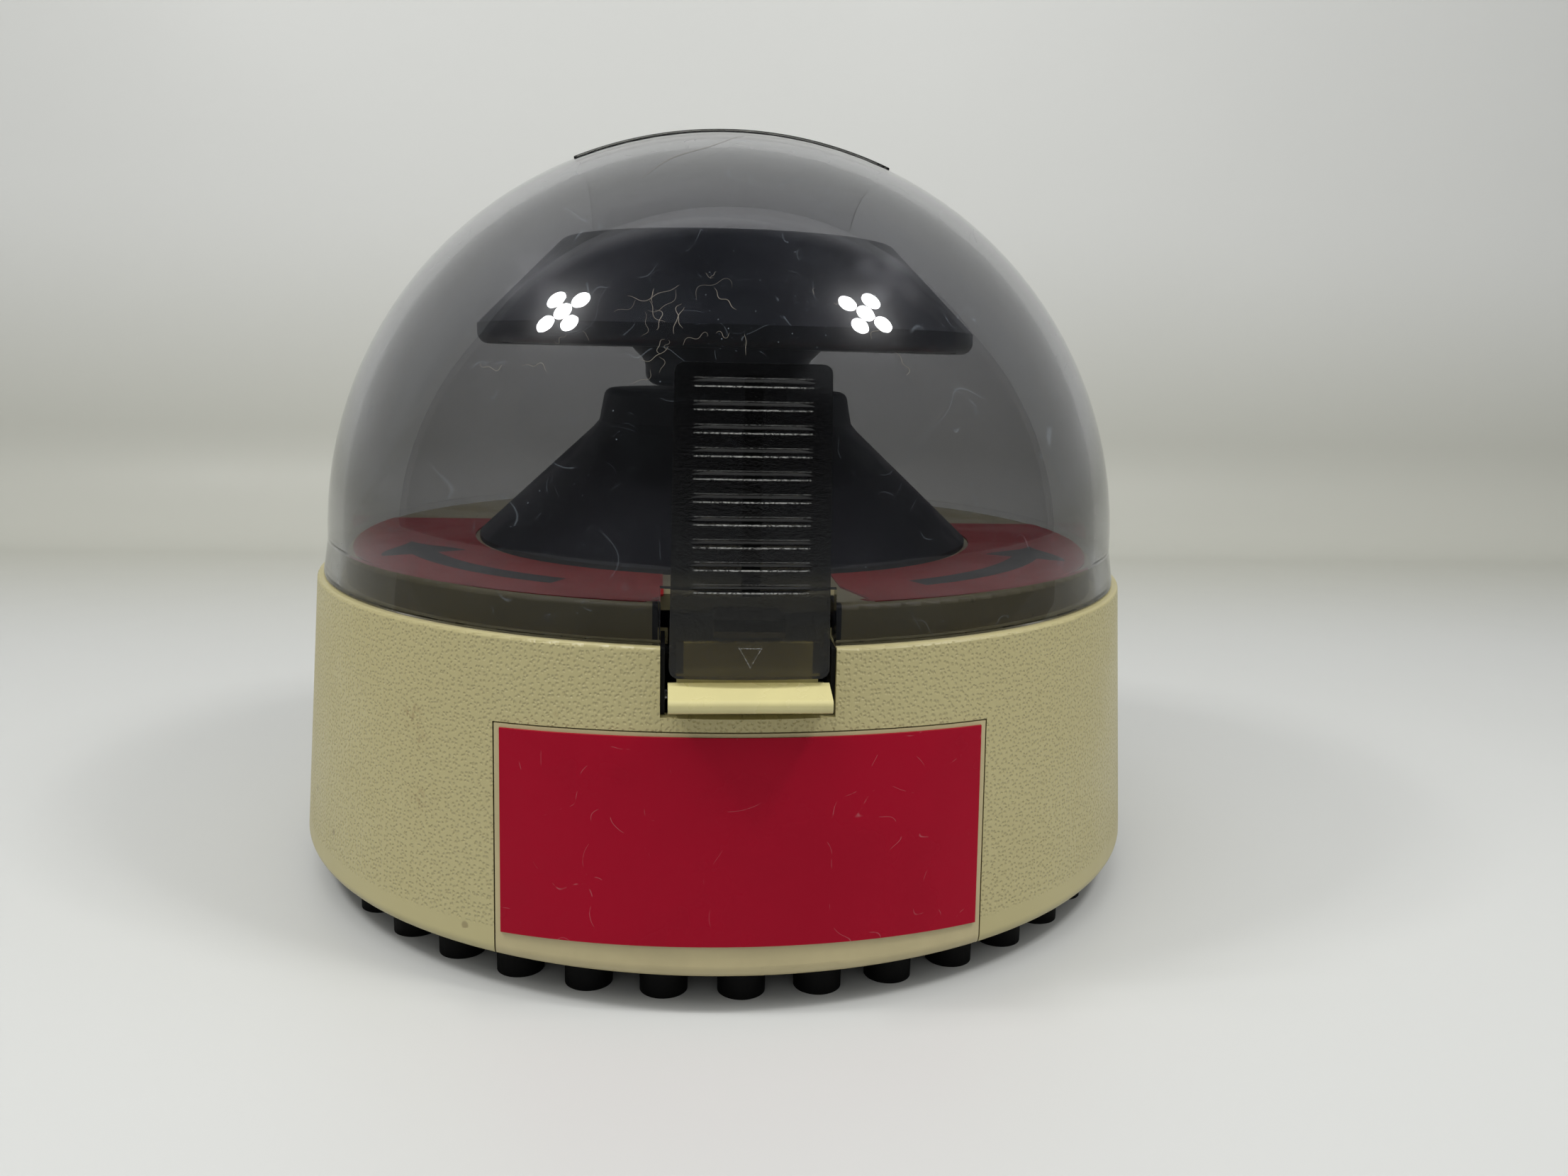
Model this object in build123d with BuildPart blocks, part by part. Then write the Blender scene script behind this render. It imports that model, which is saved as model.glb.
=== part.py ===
"""Mini centrifuge: a round bench instrument with a clear hinged dome over a small rotor.

Millimetres, +Z up. The origin is on the rotor's axis, on the surface that the feet
stand on. The front, with the nameplate and the lid's release ledge, faces -Y, and
the lid's hinge is at the back, at +Y.
"""

import os
from math import cos, radians, sin

from build123d import *

os.makedirs("parts", exist_ok=True)

# Driving dimensions of the dome lid, which set the base below it
dome_radius = 71.1
dome_wall = 2.6
dome_skirt_height = 6.0
dome_skirt_flare = 0.9
dome_edge = 0.4
dome_skirt_radius = dome_radius + dome_skirt_flare

# Driving dimensions of the base
foot_height = 5.2
joint_height = 52.0
base_shoulder = 1.0
base_flare = 3.4
base_top_radius = dome_skirt_radius + base_shoulder
base_bottom_radius = base_top_radius + base_flare
base_wall = 2.6
base_bottom_round = 2.0
flange_width = 12.5
flange_inner_radius = base_top_radius - flange_width
flange_thickness = 2.4

# Motor and its tower
motor_radius = 17.5
motor_lip = 6.5
motor_length = 47.0
motor_above_bracket = 27.5
bracket_drop = 5.5
tower_base_radius = 45.2
tower_neck_radius = 24.6
tower_top_radius = 22.3
tower_height = 27.0
tower_wall = 2.0
tower_top_round = 1.6

# Chamber floor inside the dome
deck_gap_to_dome = 0.4
deck_rise = 5.0
deck_plate = 2.4
deck_top = joint_height + deck_rise
deck_opening_radius = motor_radius + motor_lip
tower_top = deck_top + tower_height
bracket_bottom = joint_height - bracket_drop
motor_top = bracket_bottom + motor_above_bracket
motor_bottom = motor_top - motor_length

# Rotor
tube_count = 6
tube_hole_radius = 5.6
tube_angle = 45.0
rotor_gap_to_tower = 7.5
rotor_height = 18.5
rotor_radius = 45.0
rotor_rim_height = 3.5
rotor_rim_width = 3.0
rotor_bottom = tower_top + rotor_gap_to_tower
rotor_top = rotor_bottom + rotor_height
rotor_top_outer = rotor_radius - (rotor_height - rotor_rim_height)
rim_inner_radius = rotor_top_outer - rotor_rim_width
tube_mouth_inset = 4.75
tube_circle_radius = rim_inner_radius - tube_mouth_inset
dish_depth = 9.5
hub_radius = 15.0
hub_bore_wall = 4.0
hub_root_round = 2.5
rotor_low_round = 2.0
rotor_high_round = 1.4
shaft_radius = 3.0

# Hinge at the back
hinge_set_back = 2.1
hinge_drop = 2.0
hinge_axis_y = base_top_radius + hinge_set_back
hinge_axis_z = joint_height - hinge_drop
hinge_pin_radius = 1.25
ear_radius = 2.9
knuckle_radius = 2.7
knuckle_half_width = 10.0
ear_thickness = 3.8

# Front notch, release ledge and lid tongue
ledge_half_width = 11.0
notch_side_gap = 1.05
notch_drop = 9.6
notch_depth = 13.5
ledge_reach = 5.0
ledge_drop = 7.7
latch_pivot_inset = 5.8
latch_pivot_drop = 8.0
latch_pin_radius = 1.0
notch_half_width = ledge_half_width + notch_side_gap
notch_floor = joint_height - notch_drop
notch_depth_y = -(base_top_radius - notch_depth)
ledge_front_y = -(base_top_radius + ledge_reach)
ledge_bottom = joint_height - ledge_drop
latch_pivot_y = -(base_top_radius - latch_pivot_inset)
latch_pivot_z = joint_height - latch_pivot_drop
tongue_length = 42.0
tongue_drop = 3.8
tongue_side_gap = 0.1
tongue_narrowing = 0.5
tongue_bottom_reach = 1.6
tongue_top_reach = -0.6
tongue_thickness = 2.0
tongue_bottom = joint_height - tongue_drop
tongue_top = tongue_bottom + tongue_length
tongue_bottom_half_width = ledge_half_width - tongue_side_gap
tongue_top_half_width = tongue_bottom_half_width - tongue_narrowing
tongue_bottom_radius = base_top_radius + tongue_bottom_reach
tongue_top_radius = base_top_radius + tongue_top_reach
groove_count = 10
groove_first_rise = 12.3
groove_first_height = tongue_bottom + groove_first_rise
groove_pitch = 3.02
groove_depth = 0.45
groove_radius = 0.6

# Front panel and nameplate
panel_half_width = 35.3
panel_gap_to_notch = 2.0
panel_top = notch_floor - panel_gap_to_notch
panel_corner_drop = 0.9
panel_gap = 0.2
panel_cut_y = base_top_radius - 18.0
plate_margin_side = 0.8
plate_margin_top = 0.5
plate_margin_bottom = 5.2
plate_thickness = 0.4
plate_half_width = panel_half_width - plate_margin_side
plate_bottom = foot_height + plate_margin_bottom
plate_top = panel_top - plate_margin_top

# Feet
foot_count = 38
foot_radius = 3.5
foot_inset = 7.9
foot_circle_radius = base_bottom_radius - foot_inset
foot_ring_thickness = 1.4

# Named clearances
running_gap = 0.05
moving_gap = 0.3


def base_radius_at(height):
    """Outer radius of the tapered base wall at a height above the floor."""
    taper = (base_bottom_radius - base_top_radius) / (joint_height - foot_height)
    return base_top_radius + (joint_height - height) * taper


def tongue_radius_at(height):
    """Front radius of the lid tongue, which leans back towards its top."""
    lean = (tongue_bottom_radius - tongue_top_radius) / (tongue_top - tongue_bottom)
    return tongue_bottom_radius - (height - tongue_bottom) * lean


spring_line = joint_height + dome_skirt_height
deck_radius = dome_radius - dome_wall - deck_gap_to_dome
deck_under = deck_top - deck_plate
plate_under = foot_height + 0.4
plate_floor = plate_under + deck_plate

# Base housing: tapered wall, top flange, screw posts and hinge ears, in one moulding
post_radius = 3.6
post_circle_radius = base_top_radius - 13.0
post_count = 4
case_screw_radius = 1.5
inlet_height = 22.0
inlet_boss_radius = 9.0
inlet_boss_y = base_radius_at(inlet_height) + 1.02
inlet_thread_radius = 5.5
ear_centre_x = knuckle_half_width + moving_gap + ear_thickness / 2

with BuildPart() as base_housing:
    with BuildSketch(Plane.XZ) as housing_profile:
        with BuildLine():
            Polyline(
                (base_bottom_radius, foot_height),
                (base_top_radius, joint_height),
                (flange_inner_radius, joint_height),
                (flange_inner_radius, joint_height - flange_thickness),
                (base_radius_at(joint_height - flange_thickness) - base_wall, joint_height - flange_thickness),
                (base_bottom_radius - base_wall, foot_height),
                close=True,
            )
        make_face()
        bottom_corner = housing_profile.vertices().group_by(Axis.Y)[0].sort_by(Axis.X)[-1]
        fillet(bottom_corner, radius=base_bottom_round)
        top_corner = housing_profile.vertices().group_by(Axis.Y)[-1].sort_by(Axis.X)[-1]
        fillet(top_corner, radius=0.5)
    revolve(axis=Axis.Z)
    # screw posts hang from the flange
    with BuildSketch(Plane.XY.offset(plate_floor + 0.2)):
        with PolarLocations(post_circle_radius, post_count, start_angle=45):
            Circle(post_radius)
    extrude(amount=joint_height - flange_thickness - plate_floor)
    with BuildSketch(Plane.XY.offset(plate_floor + 0.2)):
        with PolarLocations(post_circle_radius, post_count, start_angle=45):
            Circle(case_screw_radius + running_gap)
    extrude(amount=16, mode=Mode.SUBTRACT)
    # ears and their web behind the wall's back
    with BuildSketch(Plane.YZ):
        with Locations((hinge_axis_y, hinge_axis_z)):
            Circle(ear_radius)
        with BuildLine():
            Polyline(
                (base_top_radius - base_wall + 0.8, hinge_axis_z + 1.8),
                (hinge_axis_y, hinge_axis_z + 1.8),
                (hinge_axis_y + ear_radius * 0.8, hinge_axis_z - 1.7),
                (hinge_axis_y - 1.2, hinge_axis_z - 7.0),
                (base_top_radius - base_wall + 0.8, hinge_axis_z - 9.0),
                close=True,
            )
        make_face()
    extrude(amount=ear_centre_x + ear_thickness / 2, both=True)
    # room for the lid's knuckle between the ears
    with BuildSketch(Plane.YZ):
        with Locations((hinge_axis_y, hinge_axis_z)):
            Circle(knuckle_radius + moving_gap)
        with Locations((hinge_axis_y + 4.0, hinge_axis_z - 6.0)):
            Rectangle(8.0, 24.0)
    extrude(amount=knuckle_half_width + moving_gap, both=True, mode=Mode.SUBTRACT)
    with BuildSketch(Plane.YZ):
        with Locations((hinge_axis_y, hinge_axis_z)):
            Circle(hinge_pin_radius)
    extrude(amount=30, both=True, mode=Mode.SUBTRACT)
    # front notch for the tongue and the ledge
    with BuildSketch(Plane.XZ.offset(-notch_depth_y)):
        with Locations((0, (notch_floor + joint_height + 2) / 2)):
            Rectangle(2 * notch_half_width, joint_height + 2 - notch_floor)
    extrude(amount=30, mode=Mode.SUBTRACT)
    # opening for the front panel, from the bottom edge up
    with BuildSketch(Plane.XZ.offset(panel_cut_y)):
        with BuildLine():
            side = panel_half_width + panel_gap
            corner_z = panel_top - panel_corner_drop + panel_gap
            Line((-side, corner_z), (-side, 0))
            Line((-side, 0), (side, 0))
            Line((side, 0), (side, corner_z))
            ThreePointArc((side, corner_z), (0, panel_top + panel_gap), (-side, corner_z))
        make_face()
    extrude(amount=30, mode=Mode.SUBTRACT)
    # mould lines between the notch and the panel
    with BuildSketch(Plane.XZ.offset(base_radius_at(notch_floor) - 0.9)):
        line_x = notch_half_width - 0.15
        line_z = notch_floor - 1.4
        with Locations((-line_x, line_z), (line_x, line_z)):
            Rectangle(0.3, 4.0)
    extrude(amount=5, mode=Mode.SUBTRACT)
    # boss and hole of the power inlet
    with BuildSketch(Plane.XZ.offset(-inlet_boss_y)):
        with Locations((0, inlet_height)):
            Circle(inlet_boss_radius)
    extrude(amount=4.2)
    with BuildSketch(Plane.XZ.offset(-inlet_boss_y - 1)):
        with Locations((0, inlet_height)):
            Circle(inlet_thread_radius + running_gap)
    extrude(amount=12, mode=Mode.SUBTRACT)
base_housing.part.label = "base_housing"
export_step(base_housing.part, "parts/base_housing.step")

# Front panel: a smooth insert that carries the nameplate
with BuildPart() as front_panel:
    with BuildSketch(Plane.XZ) as panel_profile:
        with BuildLine():
            Polyline(
                (base_bottom_radius, foot_height),
                (base_radius_at(panel_top + 3), panel_top + 3),
                (base_radius_at(panel_top + 3) - base_wall, panel_top + 3),
                (base_bottom_radius - base_wall, foot_height),
                close=True,
            )
        make_face()
        panel_foot = panel_profile.vertices().group_by(Axis.Y)[0].sort_by(Axis.X)[-1]
        fillet(panel_foot, radius=base_bottom_round)
    revolve(axis=Axis.Z)
    with BuildSketch(Plane.XZ.offset(panel_cut_y)):
        with BuildLine():
            corner_z = panel_top - panel_corner_drop
            Line((-panel_half_width, corner_z), (-panel_half_width, foot_height - 1))
            Line((-panel_half_width, foot_height - 1), (panel_half_width, foot_height - 1))
            Line((panel_half_width, foot_height - 1), (panel_half_width, corner_z))
            ThreePointArc((panel_half_width, corner_z), (0, panel_top), (-panel_half_width, corner_z))
        make_face()
    extrude(amount=30, mode=Mode.INTERSECT)
front_panel.part.label = "front_panel"
export_step(front_panel.part, "parts/front_panel.step")

# Nameplate: a thin curved label stuck to the panel
with BuildPart() as nameplate:
    with BuildSketch(Plane.XZ):
        with BuildLine():
            Polyline(
                (base_radius_at(plate_bottom - 3), plate_bottom - 3),
                (base_radius_at(plate_top + 3), plate_top + 3),
                (base_radius_at(plate_top + 3) + plate_thickness, plate_top + 3),
                (base_radius_at(plate_bottom - 3) + plate_thickness, plate_bottom - 3),
                close=True,
            )
        make_face()
    revolve(axis=Axis.Z)
    with BuildSketch(Plane.XZ.offset(panel_cut_y)):
        with BuildLine():
            top_corner_z = plate_top - panel_corner_drop
            low_corner_z = plate_bottom - panel_corner_drop
            Line((-plate_half_width, top_corner_z), (-plate_half_width, low_corner_z))
            ThreePointArc((-plate_half_width, low_corner_z), (0, plate_bottom), (plate_half_width, low_corner_z))
            Line((plate_half_width, low_corner_z), (plate_half_width, top_corner_z))
            ThreePointArc((plate_half_width, top_corner_z), (0, plate_top), (-plate_half_width, top_corner_z))
        make_face()
    extrude(amount=30, mode=Mode.INTERSECT)
nameplate.part.label = "nameplate"
export_step(nameplate.part, "parts/nameplate.step")

# Chamber floor: a raised disc that stands on the flange and carries the motor
motor_post_circle = motor_radius + 12.5
motor_post_radius = 4.0
motor_post_count = 3
motor_screw_radius = 1.5
bracket_thickness = 1.5
grommet_lip = 3.0
grommet_top = bracket_bottom + bracket_thickness + grommet_lip
deck_skirt = 2.4

with BuildPart() as deck:
    with BuildSketch(Plane.XZ) as deck_profile:
        with BuildLine():
            Polyline(
                (deck_opening_radius, deck_top),
                (deck_radius, deck_top),
                (deck_radius, joint_height),
                (deck_radius - deck_skirt, joint_height),
                (deck_radius - deck_skirt, deck_under),
                (deck_opening_radius, deck_under),
                close=True,
            )
        make_face()
        rim_corner = deck_profile.vertices().group_by(Axis.Y)[-1].sort_by(Axis.X)[-1]
        fillet(rim_corner, radius=0.8)
    revolve(axis=Axis.Z)
    with BuildSketch(Plane.XY.offset(grommet_top)):
        with PolarLocations(motor_post_circle, motor_post_count, start_angle=90):
            Circle(motor_post_radius)
    extrude(amount=deck_under - grommet_top + 0.5)
    with BuildSketch(Plane.XY.offset(grommet_top)):
        with PolarLocations(motor_post_circle, motor_post_count, start_angle=90):
            Circle(motor_screw_radius + running_gap)
    extrude(amount=4.6, mode=Mode.SUBTRACT)
    with BuildSketch(Plane.XZ.offset(-notch_depth_y)):
        with Locations((0, deck_top - 3)):
            Rectangle(2 * notch_half_width + 0.4, 12)
    extrude(amount=20, mode=Mode.SUBTRACT)
deck.part.label = "deck"
export_step(deck.part, "parts/deck.step")

# Printed label on the chamber floor: a wide band round the front half, open at the tongue
label_thickness = 0.25
label_edge = 1.1
label_left_end = -11.6
label_right_end = 14.6
label_back_y = 15.0
label_corner_y = -(deck_radius - 7.1)

with BuildPart() as deck_label:
    with BuildSketch(Plane.XY.offset(deck_top)):
        Circle(deck_radius - label_edge)
        Circle(tower_base_radius + 0.8, mode=Mode.SUBTRACT)
        with Locations((0, label_back_y + deck_radius / 2)):
            Rectangle(2 * deck_radius, deck_radius, mode=Mode.SUBTRACT)
        with BuildLine():
            Polyline(
                (label_left_end, -tower_base_radius + 15),
                (label_left_end, label_corner_y),
                (label_left_end - 4.5, label_corner_y - 8.0),
                (label_right_end + 5.0, label_corner_y - 8.0),
                (label_right_end, label_corner_y + 7.5),
                (label_right_end, -tower_base_radius + 15),
                close=True,
            )
        make_face(mode=Mode.SUBTRACT)
    extrude(amount=label_thickness)
deck_label.part.label = "deck_label"
export_step(deck_label.part, "parts/deck_label.step")

# Motor tower: a black cone over the motor
tower_foot = 0.8
tower_neck_length = 7.2
tower_shoulder = tower_top - tower_neck_length

with BuildPart() as motor_tower:
    with BuildSketch(Plane.XZ):
        with BuildLine():
            Polyline(
                (tower_base_radius, deck_top),
                (tower_base_radius, deck_top + tower_foot),
                (tower_neck_radius, tower_shoulder),
                (tower_neck_radius - 1.2, tower_shoulder + 1.4),
                (tower_top_radius, tower_top),
                (8.0, tower_top),
                (8.0, tower_top - tower_wall),
                (tower_top_radius - tower_wall, tower_top - tower_wall),
                (tower_neck_radius - tower_wall - 1.2, tower_shoulder - 0.6),
                (tower_base_radius - tower_wall - 0.9, deck_top),
                close=True,
            )
        make_face()
    revolve(axis=Axis.Z)
    neck_edges = motor_tower.edges().filter_by(GeomType.CIRCLE).group_by(Axis.Z)[-1].sort_by(SortBy.LENGTH)[-1]
    fillet(neck_edges, radius=tower_top_round)
motor_tower.part.label = "motor_tower"
export_step(motor_tower.part, "parts/motor_tower.step")

# Bottom plate with vents, closed by four screws
plate_radius = base_radius_at(plate_under) - base_wall - 0.5
vent_count = 8
screw_head_radius = 3.0

with BuildPart() as bottom_plate:
    with BuildSketch(Plane.XY.offset(plate_under)):
        Circle(plate_radius)
    extrude(amount=deck_plate)
    with BuildSketch(Plane.XY.offset(plate_under)):
        with PolarLocations(40, vent_count):
            SlotOverall(22, 3)
    extrude(amount=deck_plate, mode=Mode.SUBTRACT)
    with BuildSketch(Plane.XY.offset(plate_under)):
        with PolarLocations(post_circle_radius, post_count, start_angle=45):
            Circle(case_screw_radius + 0.15)
    extrude(amount=deck_plate, mode=Mode.SUBTRACT)
    with BuildSketch(Plane.XY.offset(plate_under)):
        with PolarLocations(post_circle_radius, post_count, start_angle=45):
            Circle(screw_head_radius + 0.3)
    extrude(amount=1.6, mode=Mode.SUBTRACT)
    # standoffs of the circuit board
    board_hole_x = 40.0
    board_hole_y = 28.0
    board_centre_y = -36.0
    board_bottom = 13.0
    with BuildSketch(Plane.XY.offset(plate_floor)):
        with Locations((0, board_centre_y)):
            with GridLocations(board_hole_x, board_hole_y, 2, 2):
                Circle(2.4)
    extrude(amount=board_bottom - plate_floor)
bottom_plate.part.label = "bottom_plate"
export_step(bottom_plate.part, "parts/bottom_plate.step")

# Foot ring: rubber studs moulded on one ring
with BuildPart() as rubber_feet:
    with BuildSketch(Plane.XY.offset(plate_under - foot_ring_thickness)):
        Circle(foot_circle_radius + foot_radius + 0.4)
        Circle(foot_circle_radius - foot_radius - 0.4, mode=Mode.SUBTRACT)
    extrude(amount=foot_ring_thickness)
    with BuildSketch(Plane.XY):
        with PolarLocations(foot_circle_radius, foot_count, start_angle=-90):
            Circle(foot_radius)
    extrude(amount=plate_under - foot_ring_thickness + 0.1)
rubber_feet.part.label = "rubber_feet"
export_step(rubber_feet.part, "parts/rubber_feet.step")

# Screws that hold the bottom plate to the housing's posts
case_screw_length = 14.0
with BuildPart() as case_screws:
    with BuildSketch(Plane.XY.offset(plate_under)):
        with PolarLocations(post_circle_radius, post_count, start_angle=45):
            Circle(screw_head_radius)
    extrude(amount=1.6)
    with BuildSketch(Plane.XY.offset(plate_under + 1.6)):
        with PolarLocations(post_circle_radius, post_count, start_angle=45):
            Circle(case_screw_radius)
    extrude(amount=case_screw_length)
    with BuildSketch(Plane.XY.offset(plate_under)):
        with PolarLocations(post_circle_radius, post_count, start_angle=45):
            Rectangle(3.6, 0.8)
    extrude(amount=0.9, mode=Mode.SUBTRACT)
case_screws.part.label = "case_screws"
export_step(case_screws.part, "parts/case_screws.step")

# Motor: can, end bell, bearings, armature on its shaft
bearing_radius = 5.0
bearing_length = 4.0
nose_radius = 6.5
nose_top = tower_top - 4.5
can_wall = 1.2
dish_floor = rotor_top - dish_depth
boss_top = dish_floor + 2.0
shaft_top = boss_top + 2.5
shaft_bottom = motor_bottom - 6.5

with BuildPart() as motor_can:
    with BuildSketch(Plane.XZ):
        with BuildLine():
            Polyline(
                (motor_radius, motor_bottom),
                (motor_radius, bracket_bottom - 1.6),
                (deck_opening_radius, bracket_bottom - 1.6),
                (deck_opening_radius, bracket_bottom),
                (motor_radius, bracket_bottom),
                (motor_radius, motor_top),
                (nose_radius, motor_top),
                (nose_radius, nose_top),
                (shaft_radius + 0.6, nose_top),
                (shaft_radius + 0.6, nose_top - 1.0),
                (bearing_radius, nose_top - 1.0),
                (bearing_radius, nose_top - 1.0 - bearing_length),
                (bearing_radius, motor_top - can_wall),
                (motor_radius - can_wall, motor_top - can_wall),
                (motor_radius - can_wall, motor_bottom),
                close=True,
            )
        make_face()
    revolve(axis=Axis.Z)
motor_can.part.label = "motor_can"
export_step(motor_can.part, "parts/motor_can.step")

with BuildPart() as motor_end_bell:
    with BuildSketch(Plane.XZ):
        with BuildLine():
            Polyline(
                (motor_radius, motor_bottom),
                (motor_radius, motor_bottom - 2.0),
                (motor_radius - 2.0, motor_bottom - 4.0),
                (8.0, motor_bottom - 4.0),
                (8.0, shaft_bottom - 1.0),
                (0, shaft_bottom - 1.0),
                (0, shaft_bottom - 0.2),
                (shaft_radius + 0.6, shaft_bottom - 0.2),
                (shaft_radius + 0.6, shaft_bottom + 1.0),
                (bearing_radius, shaft_bottom + 1.0),
                (bearing_radius, motor_bottom),
                close=True,
            )
        make_face()
    revolve(axis=Axis.Z)
motor_end_bell.part.label = "motor_end_bell"
export_step(motor_end_bell.part, "parts/motor_end_bell.step")

with BuildPart() as motor_bearings:
    for low in (shaft_bottom + 1.0, nose_top - 1.0 - bearing_length):
        with BuildSketch(Plane.XY.offset(low)):
            Circle(bearing_radius)
            Circle(shaft_radius + running_gap, mode=Mode.SUBTRACT)
        extrude(amount=bearing_length)
motor_bearings.part.label = "motor_bearings"
export_step(motor_bearings.part, "parts/motor_bearings.step")

with BuildPart() as motor_shaft:
    with BuildSketch(Plane.XY.offset(shaft_bottom)):
        Circle(shaft_radius)
    extrude(amount=shaft_top - shaft_bottom)
    chamfer(motor_shaft.edges().filter_by(GeomType.CIRCLE), length=0.4)
motor_shaft.part.label = "motor_shaft"
export_step(motor_shaft.part, "parts/motor_shaft.step")

armature_radius = motor_radius - can_wall - 3.0
pole_count = 8
with BuildPart() as motor_armature:
    with BuildSketch(Plane.XY.offset(motor_bottom + 11)):
        Circle(armature_radius)
        Circle(shaft_radius, mode=Mode.SUBTRACT)
        with PolarLocations(armature_radius, pole_count):
            Rectangle(7.0, 2.0, mode=Mode.SUBTRACT)
    extrude(amount=30)
    with BuildSketch(Plane.XY.offset(motor_bottom + 3)):
        Circle(6.0)
        Circle(shaft_radius, mode=Mode.SUBTRACT)
    extrude(amount=8)
motor_armature.part.label = "motor_armature"
export_step(motor_armature.part, "parts/motor_armature.step")

# Motor bracket with rubber grommets under the chamber floor
bracket_hole_radius = 2.6
bracket_inner_radius = motor_radius + 0.1

with BuildPart() as motor_bracket:
    with BuildSketch(Plane.XY.offset(bracket_bottom)):
        Circle(deck_opening_radius + 1.5)
        with PolarLocations(motor_post_circle, motor_post_count, start_angle=90):
            Circle(6.0)
        with PolarLocations(motor_post_circle / 2, motor_post_count, start_angle=90):
            Rectangle(motor_post_circle, 12.0)
        Circle(bracket_inner_radius, mode=Mode.SUBTRACT)
        with PolarLocations(motor_post_circle, motor_post_count, start_angle=90):
            Circle(bracket_hole_radius, mode=Mode.SUBTRACT)
    extrude(amount=bracket_thickness)
motor_bracket.part.label = "motor_bracket"
export_step(motor_bracket.part, "parts/motor_bracket.step")

grommet_radius = 4.2
grommet_waist = bracket_hole_radius - running_gap
grommet_bottom = bracket_bottom - 1.5
with BuildPart() as motor_grommets:
    for low, high, radius in (
        (grommet_bottom, bracket_bottom, grommet_radius),
        (bracket_bottom, bracket_bottom + bracket_thickness, grommet_waist),
        (bracket_bottom + bracket_thickness, grommet_top, grommet_radius),
    ):
        with BuildSketch(Plane.XY.offset(low)):
            with PolarLocations(motor_post_circle, motor_post_count, start_angle=90):
                Circle(radius)
        extrude(amount=high - low)
    with BuildSketch(Plane.XY.offset(grommet_bottom)):
        with PolarLocations(motor_post_circle, motor_post_count, start_angle=90):
            Circle(motor_screw_radius + running_gap)
    extrude(amount=grommet_top - grommet_bottom, mode=Mode.SUBTRACT)
motor_grommets.part.label = "motor_grommets"
export_step(motor_grommets.part, "parts/motor_grommets.step")

motor_screw_tip = deck_under + 0.4
with BuildPart() as motor_screws:
    with BuildSketch(Plane.XY.offset(grommet_bottom - 2.0)):
        with PolarLocations(motor_post_circle, motor_post_count, start_angle=90):
            Circle(2.9)
    extrude(amount=2.0)
    with BuildSketch(Plane.XY.offset(grommet_bottom)):
        with PolarLocations(motor_post_circle, motor_post_count, start_angle=90):
            Circle(motor_screw_radius)
    extrude(amount=motor_screw_tip - grommet_bottom)
motor_screws.part.label = "motor_screws"
export_step(motor_screws.part, "parts/motor_screws.step")

# Circuit board and the parts soldered on it
board_thickness = 1.6
board_length = 48.0
board_width = 36.0
with BuildPart() as circuit_board:
    with BuildSketch(Plane.XY.offset(board_bottom)):
        with Locations((0, board_centre_y)):
            RectangleRounded(board_length, board_width, 2.0)
            with GridLocations(board_hole_x, board_hole_y, 2, 2):
                Circle(1.3, mode=Mode.SUBTRACT)
    extrude(amount=board_thickness)
circuit_board.part.label = "circuit_board"
export_step(circuit_board.part, "parts/circuit_board.step")

board_top = board_bottom + board_thickness
with BuildPart() as board_parts:
    # smoothing capacitors
    with BuildSketch(Plane.XY.offset(board_top)):
        with Locations((-13, board_centre_y - 6), (0, board_centre_y - 6)):
            Circle(5.0)
    extrude(amount=12)
    # rectifier, terminal block and relay
    with BuildSketch(Plane.XY.offset(board_top)):
        with Locations((12, board_centre_y - 8)):
            Rectangle(10, 10)
    extrude(amount=5)
    with BuildSketch(Plane.XY.offset(board_top)):
        with Locations((-10, board_centre_y + 11)):
            Rectangle(16, 7)
    extrude(amount=8)
    with BuildSketch(Plane.XY.offset(board_top)):
        with Locations((11, board_centre_y + 8)):
            Rectangle(15, 10)
    extrude(amount=9)
board_parts.part.label = "board_parts"
export_step(board_parts.part, "parts/board_parts.step")

# Power inlet: a round jack through the boss, held by a nut inside
jack_bore_radius = 2.8
jack_depth = 11.0
jack_flange_radius = 7.2
jack_flange = 1.4
with BuildPart() as power_inlet:
    with BuildSketch(Plane.XZ.offset(-inlet_boss_y)):
        with Locations((0, inlet_height)):
            Circle(inlet_thread_radius)
    extrude(amount=15.0)
    with BuildSketch(Plane.XZ.offset(-inlet_boss_y - jack_flange)):
        with Locations((0, inlet_height)):
            Circle(jack_flange_radius)
    extrude(amount=jack_flange)
    with BuildSketch(Plane.XZ.offset(-inlet_boss_y - jack_flange)):
        with Locations((0, inlet_height)):
            Circle(jack_bore_radius)
            Circle(1.0, mode=Mode.SUBTRACT)
    extrude(amount=jack_depth, mode=Mode.SUBTRACT)
power_inlet.part.label = "power_inlet"
export_step(power_inlet.part, "parts/power_inlet.step")

boss_inner_y = inlet_boss_y - 4.2
with BuildPart() as inlet_nut:
    with BuildSketch(Plane.XZ.offset(-boss_inner_y)):
        with Locations((0, inlet_height)):
            RegularPolygon(7.6, 6)
            Circle(inlet_thread_radius + running_gap, mode=Mode.SUBTRACT)
    extrude(amount=2.5)
inlet_nut.part.label = "inlet_nut"
export_step(inlet_nut.part, "parts/inlet_nut.step")

# Hinge pin pressed in the ears
with BuildPart() as hinge_pin:
    with BuildSketch(Plane.YZ):
        with Locations((hinge_axis_y, hinge_axis_z)):
            Circle(hinge_pin_radius)
    extrude(amount=ear_centre_x + ear_thickness / 2, both=True)
hinge_pin.part.label = "hinge_pin"
export_step(hinge_pin.part, "parts/hinge_pin.step")

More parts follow.
